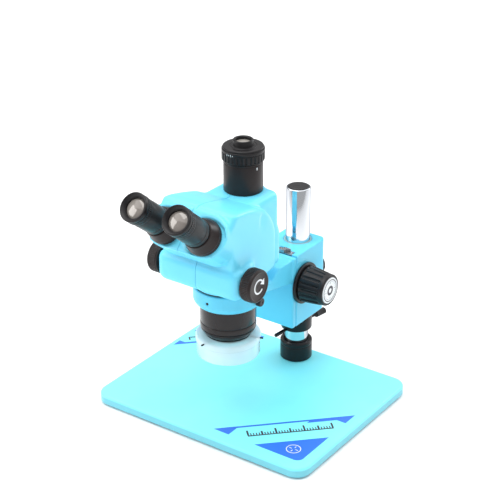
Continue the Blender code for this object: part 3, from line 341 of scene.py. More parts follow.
def turned(name, profile, place=None, sides=ROUND, ring=False, edge=EDGE, flutes=None):
    """A piece turned about Z from (radius, height) pairs: one circle, extruded and scaled on.

    ring joins the profile's end to its start, for a piece with a bore. flutes is (count, points across
    one groove, lowest, highest, scale of the groove's radius).
    """
    radius, height = profile[0]
    bpy.ops.object.select_all(action="DESELECT")
    bpy.ops.mesh.primitive_circle_add(vertices=sides, radius=radius, fill_type="NOTHING",
                                      location=(0, 0, height))
    item = bpy.context.object
    item.name = name
    settle(item)
    edit(item)
    everything()
    for next_radius, next_height in list(profile[1:]) + (profile[:1] if ring else []):
        bpy.ops.mesh.extrude_region_move(TRANSFORM_OT_translate={"value": (0, 0, next_height - height)})
        scale = next_radius / radius
        bpy.ops.transform.resize(value=(scale, scale, 1), center_override=(0, 0, next_height))
        radius, height = next_radius, next_height
    everything()
    if ring:
        bpy.ops.mesh.remove_doubles(threshold=WELD)
    else:
        bpy.ops.mesh.fill_holes(sides=0)
    if flutes:
        count, across, low, high, share = flutes
        pitch = sides // count
        radius_floor = max(r for r, z in profile) * 0.72

        def in_groove(point):
            step = round(math.atan2(point.co.y, point.co.x) / FULL_TURN * sides) % pitch
            return step < across and low <= point.co.z <= high and point.co.xy.length > radius_floor

        pick(item, "POINT", in_groove)
        bpy.ops.transform.resize(value=(share, share, 1), center_override=(0, 0, 0))
    everything()
    bpy.ops.mesh.normals_make_consistent(inside=False)
    leave()
    if edge:
        soft_edges(item, edge)
    settle(item, place)
    smooth(item)
    return item


def printed(name, low, high, cuts=(), place=None, rise=PRINT_RISE, rounded=None):
    """A flat print on Z 0: a plane from low to high, trimmed by lines and raised a hair.

    Each cut is (point, direction) and what lies on the direction's side goes.
    """
    bpy.ops.object.select_all(action="DESELECT")
    centre = ((low[0] + high[0]) / 2, (low[1] + high[1]) / 2, 0)
    bpy.ops.mesh.primitive_plane_add(size=1, location=centre)
    item = bpy.context.object
    item.name = name
    item.scale = (high[0] - low[0], high[1] - low[1], 1)
    settle(item)
    edit(item)
    for point, direction in cuts:
        everything()
        bpy.ops.mesh.bisect(plane_co=(*point, 0), plane_no=(*direction, 0), clear_outer=True)
    if rounded:
        corner, reach, radius = rounded
        pick(item, "POINT", lambda point: (point.co.xy - Vector(corner)).length < reach)
        bpy.ops.mesh.bevel(offset=radius, segments=8, affect="VERTICES")
    everything()
    bpy.ops.mesh.extrude_region_move(TRANSFORM_OT_translate={"value": (0, 0, rise)})
    everything()
    bpy.ops.mesh.normals_make_consistent(inside=False)
    leave()
    settle(item, place)
    return item


def joined(name, items):
    choose(*items)
    if len(items) > 1:
        bpy.ops.object.join()
    items[0].name = name
    return items[0]


def copied(name, *nodes):
    """A merged copy of CAD nodes to work on."""
    items = []
    for node in nodes:
        item = frame["nodes"][node].copy()
        item.data = item.data.copy()
        item.parent = None
        for key in list(item.keys()):
            del item[key]
        item.hide_render = False
        item.hide_viewport = False
        bpy.context.scene.collection.objects.link(item)
        items.append(item)
    item = joined(name, items)
    edit(item)
    everything()
    bpy.ops.mesh.remove_doubles(threshold=0.000005)
    leave()
    return item


def block(low, high, place=None):
    bpy.ops.object.select_all(action="DESELECT")
    centre = [(a + b) / 2 for a, b in zip(low, high)]
    bpy.ops.mesh.primitive_cube_add(size=1, location=centre)
    item = bpy.context.object
    item.scale = [b - a for a, b in zip(low, high)]
    settle(item)
    settle(item, place)
    return item


def pin(radius, low, high, place, sides=48):
    bpy.ops.object.select_all(action="DESELECT")
    bpy.ops.mesh.primitive_cylinder_add(vertices=sides, radius=radius, depth=high - low,
                                        location=(0, 0, (low + high) / 2))
    item = bpy.context.object
    settle(item)
    settle(item, place)
    return item


def cast(item, voxel, passes):
    """Fuses a form and rounds its edges as a casting's are."""
    apply(item, "REMESH", mode="VOXEL", voxel_size=voxel)
    apply(item, "SMOOTH", factor=0.5, iterations=passes)
    smooth(item, 50)


def largest_part(item):
    """Keeps the outer skin of a fused form and drops what is shut inside it."""
    edit(item)
    mesh = bmesh.from_edit_mesh(item.data)
    top = max(mesh.verts, key=lambda point: point.co.z).index
    pick(item, "POINT", lambda point: point.index == top)
    bpy.ops.mesh.select_linked()
    bpy.ops.mesh.select_all(action="INVERT")
    bpy.ops.mesh.delete(type="VERT")
    leave()


def middle(node):
    low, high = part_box(node)
    return (low + high) / 2


# ---------------------------------------------------------------- stand
def base_board():
    low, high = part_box("base_plate")
    item = block(low, high)
    item.name = "base_board"
    edit(item)
    pick(item, "EDGE", lambda edge: abs(edge.verts[0].co.z - edge.verts[1].co.z) > 0.005)
    bpy.ops.mesh.bevel(offset=0.020, segments=16)
    pick(item, "EDGE", lambda edge: all(point.co.z > -0.0001 for point in edge.verts))
    bpy.ops.mesh.bevel(offset=0.0028, segments=5)
    pick(item, "EDGE", lambda edge: all(point.co.z < low.z + 0.0001 for point in edge.verts))
    bpy.ops.mesh.bevel(offset=0.0012, segments=3)
    leave()
    smooth(item, 40)
    hand_in(item, "stand", "base_paint", BASE_PAINT_WITH_SIDE_SHADE, "base_plate")


def corner_print(word, turn, size, outer, inner, side_margin, end_margin):
    """One corner's print: a stepped band with pointed ends, a triangle with a dial mark, and a scale.

    It is drawn for the front right corner and turned there. outer and inner are how far the two slanted
    lines are from the plate's middle along X.
    """
    low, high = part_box("base_plate")
    right, front = high.x - side_margin, low.y + end_margin
    slant, against = Vector((-1, 1)).normalized(), Vector((1, -1)).normalized()
    band, step, point = 0.0046 * size, 0.0096 * size, 0.0228 * size
    place = Matrix.Translation((0, 0, 0.00002)) @ Matrix.Rotation(turn, 4, "Z")

    def line(across):
        return (across / 2, -across / 2)

    def lifted(layer):
        return Matrix.Translation((0, 0, layer * 0.00003)) @ place

    low_end, high_end = outer + front + point, right - outer - point
    pieces = [
        printed("band", (low_end - 0.001, front), (right, high_end + 0.001),
                [(line(outer), slant), (line(outer + band), against)], lifted(1)),
        printed("band_step", (low_end + 0.62 * (right - low_end), front), (right, high_end + 0.0005),
                [(line(outer), slant), (line(outer + step), against)], lifted(2)),
        printed("band_low_end", (front + outer, front), (low_end, front + point),
                [(line(outer), slant)], lifted(3)),
        printed("band_high_end", (right - point, high_end), (right, right - outer),
                [(line(outer), slant)], lifted(4)),
    ]
    triangle = printed("triangle", (-0.02, front), (right, high.y), [(line(inner), slant)], place,
                       rounded=((right, front), 0.001, 0.009 * size))
    hand_in(joined(f"corner_print_{word}", pieces + [triangle]), "stand", "base_paint", BLUE_INK)
    centre = Vector((right - 0.0215 * size, front + 0.0195 * size))
    dial_place = place @ upright(centre.x, centre.y, PRINT_RISE)
    dial = [turned("dial", [(0.0094 * size, 0.0), (0.0094 * size, PRINT_RISE), (0.0084 * size, PRINT_RISE),
                            (0.0084 * size, 0.0)], dial_place, 64, ring=True, edge=0)]
    for quarter in range(4):
        spoke = dial_place @ Matrix.Rotation(quarter * math.pi / 2, 4, "Z")
        dial.append(printed("mark", (0.0026 * size, -0.0005 * size), (0.0062 * size, 0.0005 * size),
                            place=spoke))
    hand_in(joined(f"corner_dial_{word}", dial), "stand", "base_paint", WHITE_INK)
    along = Vector((1, 1)).normalized()
    middle_line = (outer + inner) / 2 + 0.0045 * size
    start = Vector((front + middle_line + 0.010 * size, front + 0.010 * size))
    length = (Vector((right, right - middle_line)) - start).length - 0.008 * size
    scale_place = place @ upright(start.x, start.y) @ Matrix.Rotation(math.pi / 4, 4, "Z")
    wide = 0.0135 * size
    marks = [printed("rule", (0, 0), (length, 0.0022 * size), (), scale_place)]
    steps = 30
    for step_number in range(steps + 1):
        x = 0.0008 + (length - 0.0016) * step_number / steps
        reach = wide if step_number % 10 == 0 else wide * (0.74 if step_number % 5 == 0 else 0.50)
        thick = 0.0012 if step_number % 5 == 0 else 0.0007
        marks.append(printed("tick", (x - thick, 0.0023 * size), (x + thick, reach), (), scale_place))
    hand_in(joined(f"corner_scale_{word}", marks), "stand", "base_paint", DARK_INK)


def post_parts():
    low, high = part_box("post")
    x, y = middle("post").x, middle("post").y
    radius = (high.x - low.x) / 2
    post = turned("post_tube", [(radius - 0.0006, low.z), (radius, low.z + 0.0006), (radius, high.z - 0.0012),
                                (radius - 0.0004, high.z - 0.0004), (radius - 0.0012, high.z),
                                (radius - 0.0019, high.z), (radius - 0.0019, high.z - 0.003)],
                  upright(x, y), 160, edge=0.0002)
    hand_in(post, "stand", "post_chrome", CHROME, "post")
    cap_low, cap_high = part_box("post_cap")
    cap_radius = radius - 0.0021
    cap = turned("post_plug", [(cap_radius, cap_low.z + 0.001), (cap_radius, cap_high.z - 0.0010),
                               (cap_radius - 0.0008, cap_high.z - 0.0002), (cap_radius - 0.0016, cap_high.z),
                               (0.0020, cap_high.z), (0.0014, cap_high.z - 0.0005)], upright(x, y), 96)
    hand_in(cap, "stand", "black_plastic", MOULDED_BLACK, "post_cap")
    for node, body in (("base_collar", "stand"), ("stop_collar", "stop_collar")):
        low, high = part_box(node)
        outside = (high.x - low.x) / 2
        bore = radius + GAP
        top = high.z
        profile = [(bore, low.z + 0.0008), (bore + 0.0008, low.z), (outside - 0.0010, low.z),
                   (outside, low.z + 0.0010), (outside, top - 0.0068), (outside - 0.0005, top - 0.0063),
                   (outside - 0.0005, top - 0.0055), (outside, top - 0.0050), (outside, top - 0.0010),
                   (outside - 0.0010, top), (bore + 0.0008, top), (bore, top - 0.0008)]
        collar = turned(node + "_ring", profile, upright(x, y), 128, ring=True)
        hand_in(collar, body, "black_metal", SATIN_BLACK, node)


def radial_screw(name, node, joint, body, profile, sides, flutes=None, slot="black_plastic",
                 material=MOULDED_BLACK):
    """A screw or pin that points away from an upright axis, from the joint's own place and direction."""
    place = facing(joint["pos_m"], joint["axis"])
    item = turned(name, profile, place, sides, flutes=flutes, edge=0.0002)
    hand_in(item, body, slot, material, node)


def collar_screws():
    joint = JOINTS["stop_collar_screw_turn"]
    inner, shank, head, reach = 0.0166, 0.0022, 0.0046, 0.0560
    radial_screw("collar_thumbscrew", "stop_collar_screw", joint, "stop_collar_screw",
                 [(shank - 0.0004, inner), (shank, inner + 0.0004), (shank, 0.0358), (head - 0.0016, 0.0360),
                  (head - 0.0016, 0.0380), (head, 0.0386), (head, 0.0390), (head, reach - 0.0014),
                  (head, reach - 0.0008), (head - 0.0009, reach), (0.0012, reach), (0.0008, reach - 0.0004)],
                 72, (18, 2, 0.0388, reach - 0.0010, 0.92))
    turn = math.radians(-96.0)
    stub = {"pos_m": joint["pos_m"], "axis": (math.cos(turn), math.sin(turn), 0.0)}
    radial_screw("collar_lever", "stop_collar_pin", stub, "stop_collar",
                 [(0.0016, inner), (0.0020, inner + 0.0004), (0.0020, 0.0262), (0.0026, 0.0268),
                  (0.0026, 0.0300),
                  (0.0026, 0.0346), (0.0026, 0.0436), (0.0020, 0.0444), (0.0006, 0.0444)], 40,
                 slot="black_metal", material=GLOSS_BLACK)


# ---------------------------------------------------------------- focus block and arm
def block_parts():
    item = copied("focus_housing", "focus_block")
    cast(item, 0.0008, 6)
    hand_in(item, "focus_block", "cyan_paint", CAST_PAINT, "focus_block")
    item = copied("arm_casting", "arm")
    cast(item, 0.0008, 6)
    hand_in(item, "carriage", "cyan_paint", CAST_PAINT, "arm")


def focus_controls():
    joint = JOINTS["focus_turn"]
    y, z = joint["pos_m"][1], joint["pos_m"][2]
    for word, side in SIDES:
        place = sideways(side, y, z)
        inner, outer = 0.0306, 0.0351
        skirt = turned(f"tension_collar_{word}",
                       [(0.0033, inner), (0.0268, inner), (0.0280, inner + 0.0008), (0.0280, outer - 0.0010),
                        (0.0270, outer), (0.0240, outer), (0.0236, outer - 0.0004), (0.0228, outer - 0.0004),
                        (0.0224, outer), (0.0033, outer)], place, 128, ring=True)
        hand_in(skirt, f"tension_ring_{word}", "black_plastic", MOULDED_BLACK, f"tension_ring_{word}")
        back, tip = 0.0354, 0.0710
        knob = turned(f"focus_grip_{word}",
                      [(0.0033, back), (0.0226, back), (0.0240, back + 0.0008), (0.0245, back + 0.0022),
                       (0.0243, back + 0.0040), (0.0236, 0.0470), (0.0226, 0.0560), (0.0218, 0.0634),
                       (0.0216, 0.0644), (0.0214, 0.0664), (0.0212, 0.0694), (0.0205, tip - 0.0004),
                       (0.0198, tip), (0.0184, tip), (0.0178, tip - 0.0006), (0.0178, tip - 0.0014),
                       (0.0033, tip - 0.0014)], place, 162, ring=True,
                      flutes=(18, 4, back + 0.0030, 0.0638, 0.925), edge=0.00045)
        hand_in(knob, "focus_drive", "black_plastic", MOULDED_BLACK, f"focus_knob_{word}")
        face = tip + 0.0004
        disc = turned(f"focus_badge_{word}",
                      [(0.0165, tip - 0.0012), (0.0175, tip - 0.0010), (0.0175, face - 0.0003),
                       (0.0172, face), (0.0164, face), (0.0162, face - 0.00015), (0.0010, face - 0.00015)],
                      place, 128, edge=0.0001)
        hand_in(disc, "focus_drive", "white_label", LABEL, f"focus_disc_{word}")
        lift = Matrix.Translation((0, 0, face - 0.00015))
        ring = turned(f"ring_{word}", [(0.0153, 0.0), (0.0153, INK_RISE), (0.0142, INK_RISE), (0.0142, 0.0)],
                      place @ lift, 96, ring=True, edge=0)
        marks = [ring]
        for number in range(24):
            reach = 0.0092 if number % 6 == 0 else 0.0118
            turn = Matrix.Rotation(FULL_TURN * number / 24, 4, "Z")
            marks.append(printed("tick", (reach, -0.00026), (0.0130, 0.00026), (), place @ lift @ turn,
                                 INK_RISE))
        hub = turned("hub", [(0.0066, 0.0), (0.0066, INK_RISE), (0.0032, INK_RISE), (0.0032, 0.0)],
                     place @ lift, 64, ring=True, edge=0)
        hand_in(joined(f"focus_badge_marks_{word}", marks + [hub]), "focus_drive", "white_label", DARK_INK)


def clamp():
    low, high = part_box("clamp_knob")
    x, z = middle("clamp_knob").x, middle("clamp_knob").z
    post_y = middle("post").y
    end = high.y - post_y
    start = low.y - post_y
    item = turned("clamp_grip", [(0.0036, start), (0.0040, start + 0.0004), (0.0040, 0.0248),
                                 (0.0094, 0.0248),
                                 (0.0100, 0.0254), (0.0100, end - 0.0156), (0.0155, end - 0.0150),
                                 (0.0170, end - 0.0138), (0.0170, end - 0.0126), (0.0170, end - 0.0036),
                                 (0.0166, end - 0.0018), (0.0152, end - 0.0004), (0.0140, end),
                                 (0.0100, end), (0.0096, end - 0.0006), (0.0030, end - 0.0006)],
                  facing((x, post_y, z), (0, 1, 0)), 144, flutes=(12, 5, end - 0.0130, end - 0.0030, 0.90))
    hand_in(item, "clamp_knob", "black_plastic", MOULDED_BLACK, "clamp_knob")


def ring_screws():
    joint = JOINTS["ring_lock_screw_turn"]
    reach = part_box("ring_lock_screw")[1].x
    radial_screw("ring_thumbscrew", "ring_lock_screw", joint, "ring_lock_screw",
                 [(0.0020, 0.0362), (0.0024, 0.0366), (0.0024, 0.0449), (0.0046, 0.0451), (0.0058, 0.0458),
                  (0.0058, 0.0462), (0.0058, reach - 0.0014), (0.0056, reach - 0.0009), (0.0049, reach),
                  (0.0016, reach), (0.0012, reach - 0.0005)], 80, (20, 2, 0.0461, reach - 0.0013, 0.93))


# ---------------------------------------------------------------- optics below the head
def optics():
    x, y = middle("objective_barrel").x, middle("objective_barrel").y
    place = upright(x, y)
    low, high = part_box("objective_barrel")
    out = (high.x - low.x) / 2
    barrel = turned("objective_tube",
                    [(out - 0.0032, low.z), (out - 0.0008, low.z), (out, low.z + 0.0008),
                     (out, low.z + 0.0075),
                     (out - 0.0005, low.z + 0.0079), (out - 0.0005, low.z + 0.0087), (out, low.z + 0.0091),
                     (out, high.z - 0.0006), (out - 0.0006, high.z),
                     (out - 0.0032, high.z)], place, 160, ring=True)
    hand_in(barrel, "head", "barrel_black", GLOSS_BLACK, "objective_barrel")
    low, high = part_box("nose_ring")
    nose = turned("nose_cone",
                  [(0.0240, low.z + 0.003), (0.0262, low.z + 0.0006), (0.0270, low.z), (0.0280, low.z),
                   (0.0286, low.z + 0.0006), (0.0286, low.z + 0.0034), (0.0300, low.z + 0.0042),
                   (0.0338, low.z + 0.0092), (0.0350, high.z - 0.0014), (0.0353, high.z - 0.0004),
                   (0.0348, high.z), (0.0240, high.z)], place, 160, ring=True)
    hand_in(nose, "head", "barrel_black", GLOSS_BLACK, "nose_ring")
    low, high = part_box("objective_lens")
    rim = (high.x - low.x) / 2
    lens = turned("objective_glass", [(0.0006, low.z), (rim * 0.3, low.z + 0.0002),
                                      (rim * 0.6, low.z + 0.0007),
                                      (rim * 0.85, low.z + 0.0014), (rim, low.z + 0.0021),
                                      (rim, high.z - 0.0030),
                                      (rim * 0.85, high.z - 0.0019), (rim * 0.6, high.z - 0.0009),
                                      (rim * 0.3, high.z - 0.0002), (0.0006, high.z)], place, 96, edge=0)
    hand_in(lens, "head", "lens_glass", LENS, "objective_lens")
    low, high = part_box("head_flange")
    out = (high.x - low.x) / 2
    flange = turned("head_seat", [(0.0324, low.z), (out - 0.0022, low.z), (out - 0.0022, low.z + 0.0014),
                                  (out, low.z + 0.0016), (out, high.z - 0.0006), (out - 0.0006, high.z),
                                  (0.0324, high.z)], place, 160, ring=True)
    hand_in(flange, "head", "cyan_paint", HEAD_PAINT, "head_flange")
    # Painted shade: a thin black ring fills the flange's bottom recess and paints the shade line between the
    # head and the arm ring.
    seam_shade_ring = turned("head_gasket", [(0.0326, low.z + 0.0001), (out - 0.0004, low.z + 0.0001),
                                    (out - 0.0001, low.z + 0.0004), (out - 0.0001, low.z + 0.0013),
                                    (0.0326, low.z + 0.0013)], place, 160, ring=True, edge=0.0001)
    hand_in(seam_shade_ring, "head", "black_metal", RUBBER)
    low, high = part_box("light_shield")
    tier = (high.x - low.x) / 2
    out, bore, wall = tier - 0.001, 0.0289, 0.0022
    step = high.z - 0.0085
    guard = turned("light_guard",
                   [(bore, high.z), (tier - 0.0028, high.z), (tier - 0.0010, high.z - 0.0006),
                    (tier, high.z - 0.0020), (tier, step), (out, step - 0.0010), (out, low.z + 0.0034),
                    (out - 0.0010, low.z + 0.0010), (out - 0.0030, low.z), (out - wall - 0.0020, low.z),
                    (out - wall, low.z + 0.0040), (out - wall, step + 0.0030), (bore + wall, step + 0.0030),
                    (bore + wall, low.z + 0.0080), (bore, low.z + 0.0080)], place, 144, ring=True)
    hand_in(guard, "head", "shield_plastic", GUARD, "light_shield")
    for number in (1, 2, 3):
        joint = JOINTS[f"shield_screw_{number}_turn"]
        radial_screw(f"guard_screw_{number}", f"shield_screw_{number}", joint, f"shield_screw_{number}",
                     [(0.0008, 0.0294), (0.0011, 0.0297), (0.0011, 0.0412), (0.0008, 0.0415),
                      (0.0008, 0.0420),
                      (0.0011, 0.0423), (0.0011, 0.0455), (0.0008, 0.0460), (0.0003, 0.0460)], 32,
                     slot="black_metal", material=GLOSS_BLACK)


# ---------------------------------------------------------------- head
def oval_hollow(form, side):
    """Sinks the shallow oval in that side's cheek."""
    oval = pin(0.0165, 0, 0.012, None, 64)
    edit(oval)
    everything()
    bpy.ops.transform.resize(value=(1.0, 0.56, 1.0))
    leave()
    settle(oval, Matrix.Translation((side * 0.0486, -0.0460, 0.2655))
           @ Matrix.Rotation(side * math.radians(86), 4, "Y") @ Matrix.Rotation(math.radians(14), 4, "Z"))
    apply(form, "BOOLEAN", operation="DIFFERENCE", object=oval, solver="EXACT")
    bpy.data.objects.remove(oval)


def head_core():
    """Blocks that keep the form's neck, camera seat, shaft bosses and eye tube seats solid.

    It gives the blocks, and the place of the eye tube seats with Z pointing out of them.
    """
    neck = middle("objective_barrel")
    port = middle("camera_tube")
    zoom = JOINTS["zoom_turn"]["pos_m"]
    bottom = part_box("head_shell_left")[0].z
    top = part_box("camera_tube")[0].z - 0.0008
    tube = JOINTS["tube_right_swing"]
    lean = Vector((0, tube["axis"][1], tube["axis"][2])).normalized()
    seats = facing((0, tube["pos_m"][1], tube["pos_m"][2]), lean)
    turn = seats.to_3x3()
    across_is_x = abs(turn.col[0].x) > 0.5
    up = turn.col[1] if across_is_x else turn.col[0]
    shift = 0.016 if up.z > 0 else -0.016
    centre = (0, shift) if across_is_x else (shift, 0)
    core = [
        pin(0.0395, bottom, 0.215, upright(neck.x, neck.y)),
        pin(0.0290, 0.230, top, upright(port.x, port.y)),
        pin(0.0080, -0.0590, 0.0590, sideways(1, zoom[1], zoom[2])),
        block((-0.046, -0.112, zoom[2] - 0.012), (0.046, -0.020, zoom[2] + 0.012)),
    ]
    for reach in ((0.046, 0.021), (0.0515, 0.0145)):
        wide, tall = reach if across_is_x else reversed(reach)
        core.append(block((centre[0] - wide, centre[1] - tall, -0.034),
                          (centre[0] + wide, centre[1] + tall, -0.0064), seats))
    return core, seats


def head_cover():
    """The moulded head: the two shell halves fused over a core, rounded, and parted again at the seam."""
    form = copied("head_form", "head_shell_left", "head_shell_right")
    for word, side in SIDES:
        oval_hollow(form, side)
    edit(form)
    for side in (-1, 1):
        pick(form, "POINT", lambda point: abs(point.co.x - side * GAP / 2) < 0.0001)
        bpy.ops.transform.translate(value=(-side * 0.0006, 0, 0))
    leave()
    core, seats = head_core()
    form = joined("head_form", [form] + core)
    cast(form, 0.0012, 24)
    largest_part(form)
    to_seats = seats.inverted()
    edit(form)
    for reach, passes in ((0.016, 15), (0.019, 45)):
        pick(form, "POINT", lambda point: abs(point.co.x) > reach and -0.104 < point.co.y < -0.040
             and 0.2035 < point.co.z < 0.268 and (to_seats @ point.co).z < -0.0155)
        bpy.ops.mesh.vertices_smooth(factor=0.5, repeat=passes)
    leave()
    seam = 0.00032
    for word, side in SIDES:
        choose(form)
        bpy.ops.object.duplicate()
        half = bpy.context.object
        half.name = f"head_cover_{word}"
        edit(half)
        everything()
        bpy.ops.mesh.bisect(plane_co=(side * seam, 0, 0), plane_no=(side, 0, 0), use_fill=True,
                            clear_inner=True)
        leave()
        smooth(half, 40)
        hand_in(half, "head", "cyan_paint", HEAD_PAINT, f"head_shell_{word}")
    bpy.data.objects.remove(form)


def observation_tubes():
    for word, side in SIDES:
        joint = JOINTS[f"diopter_{word}_turn"]
        place = facing(joint["pos_m"], joint["axis"])
        body = f"tube_{word}"
        mount = turned(f"tube_seat_{word}",
                       [(0.0150, -0.0060), (0.0218, -0.0060), (0.0227, -0.0052), (0.0227, -0.0016),
                        (0.0223, -0.0012), (0.0223, -0.0004), (0.0227, 0.0), (0.0225, 0.0012),
                        (0.0214, 0.0030), (0.0190, 0.0140), (0.0186, 0.0152), (0.0180, 0.0155),
                        (0.0158, 0.0155), (0.0158, -0.0045)], place, 128, ring=True)
        hand_in(mount, body, "brown_black", BROWN_BLACK, f"tube_mount_{word}")
        tube = turned(f"eye_tube_{word}",
                      [(0.0155, -0.0040), (0.0155, 0.0158), (0.0170, 0.0158), (0.0170, 0.0168),
                       (0.0176, 0.0172), (0.0176, 0.0236), (0.0173, 0.0239), (0.0173, 0.0245),
                       (0.0176, 0.0248), (0.0176, 0.0502), (0.0173, 0.0505), (0.0173, 0.0510),
                       (0.0176, 0.0513), (0.0176, 0.0540), (0.0170, 0.0547), (0.0130, 0.0547),
                       (0.0130, -0.0040)], place, 128, ring=True)
        hand_in(tube, body, "barrel_grey", TUBE_GREY, f"eyepiece_{word}")
        marks = []
        for number in range(-3, 4):
            turn = place @ Matrix.Rotation(math.radians(205 + side * 12 + number * 7.5), 4, "Z")
            stand = turn @ Matrix.Translation((0.0176, 0, 0)) @ Matrix.Rotation(math.pi / 2, 4, "Y")
            reach = 0.0030 if number == 0 else 0.0018
            marks.append(printed("tick", (-0.0496, -0.00022), (-0.0496 + reach, 0.00022), (), stand, 0.00008))
        hand_in(joined(f"diopter_scale_{word}", marks), body, "barrel_grey", WHITE_INK)
        start, end = 0.0550, 0.0675
        rim = turned(f"diopter_cap_{word}",
                     [(0.0125, start), (0.0178, start), (0.0184, start + 0.0006), (0.0184, start + 0.0010),
                      (0.0184, start + 0.0052), (0.0184, start + 0.0056), (0.0178, start + 0.0060),
                      (0.0178, start + 0.0070), (0.0184, start + 0.0074), (0.0184, end - 0.0012),
                      (0.0180, end - 0.0004), (0.0172, end), (0.0164, end - 0.0002), (0.0140, end - 0.0024),
                      (0.0125, end - 0.0042)], place, 144, ring=True,
                     flutes=(48, 1, start + 0.0008, start + 0.0054, 0.978), edge=0.0002)
        hand_in(rim, f"diopter_{word}", "black_metal", SATIN_BLACK, f"diopter_ring_{word}")
        lens = turned(f"eye_glass_{word}",
                      [(0.0122, end - 0.0095), (0.0122, end - 0.0064), (0.0110, end - 0.0058),
                       (0.0090, end - 0.0052), (0.0070, end - 0.0048), (0.0045, end - 0.0044),
                       (0.0020, end - 0.0042), (0.0005, end - 0.0041)], place, 96, edge=0)
        hand_in(lens, f"diopter_{word}", "lens_glass", LENS, f"eye_lens_{word}")


def zoom_controls():
    joint = JOINTS["zoom_turn"]
    y, z = joint["pos_m"][1], joint["pos_m"][2]
    for word, side in SIDES:
        place = sideways(side, y, z)
        inner, outer = 0.0618, 0.0773
        knob = turned(f"zoom_grip_{word}",
                      [(0.0033, inner), (0.0196, inner), (0.0204, inner + 0.0006), (0.0204, inner + 0.0022),
                       (0.0210, inner + 0.0028), (0.0210, inner + 0.0032), (0.0210, outer - 0.0034),
                       (0.0210, outer - 0.0030), (0.0204, outer - 0.0010), (0.0196, outer - 0.0002),
                       (0.0188, outer), (0.0176, outer), (0.0170, outer - 0.0005), (0.0033, outer - 0.0005)],
                      place, 180, ring=True, flutes=(60, 1, inner + 0.0030, outer - 0.0032, 0.972),
                      edge=0.0002)
        hand_in(knob, "zoom_drive", "black_plastic", BROWN_BLACK, f"zoom_knob_{word}")
        face = place @ Matrix.Translation((0, 0, outer - 0.0005))
        plug = turned("plug", [(0.0034, -0.0008), (0.0034, 0.0002), (0.0010, 0.0002)], face, 48, edge=0)
        hand_in(plug, "zoom_drive", "black_plastic", BROWN_BLACK)
        plug.name = f"zoom_hub_{word}"
        ring = turned("arc", [(0.0096, 0.0), (0.0096, INK_RISE), (0.0074, INK_RISE), (0.0074, 0.0)], None, 96,
                      ring=True, edge=0)
        edit(ring)
        gap = (math.radians(52), math.radians(122))
        pick(ring, "FACE", lambda face: gap[0] < math.atan2(face.calc_center_median().y,
                                                            face.calc_center_median().x) < gap[1])
        bpy.ops.mesh.delete(type="FACE")
        everything()
        bpy.ops.mesh.fill_holes(sides=0)
        leave()
        settle(ring, face)
        head = printed("head", (-0.0044, -0.0062), (0.0044, 0.0006),
                       [((0.0044, 0.0), (0.82, -0.57)), ((-0.0044, 0.0), (-0.82, -0.57))],
                       face @ Matrix.Rotation(gap[1], 4, "Z") @ upright(0.0085, 0), INK_RISE)
        hand_in(joined(f"zoom_arrow_{word}", [ring, head]), "zoom_drive", "white_label", WHITE_INK)


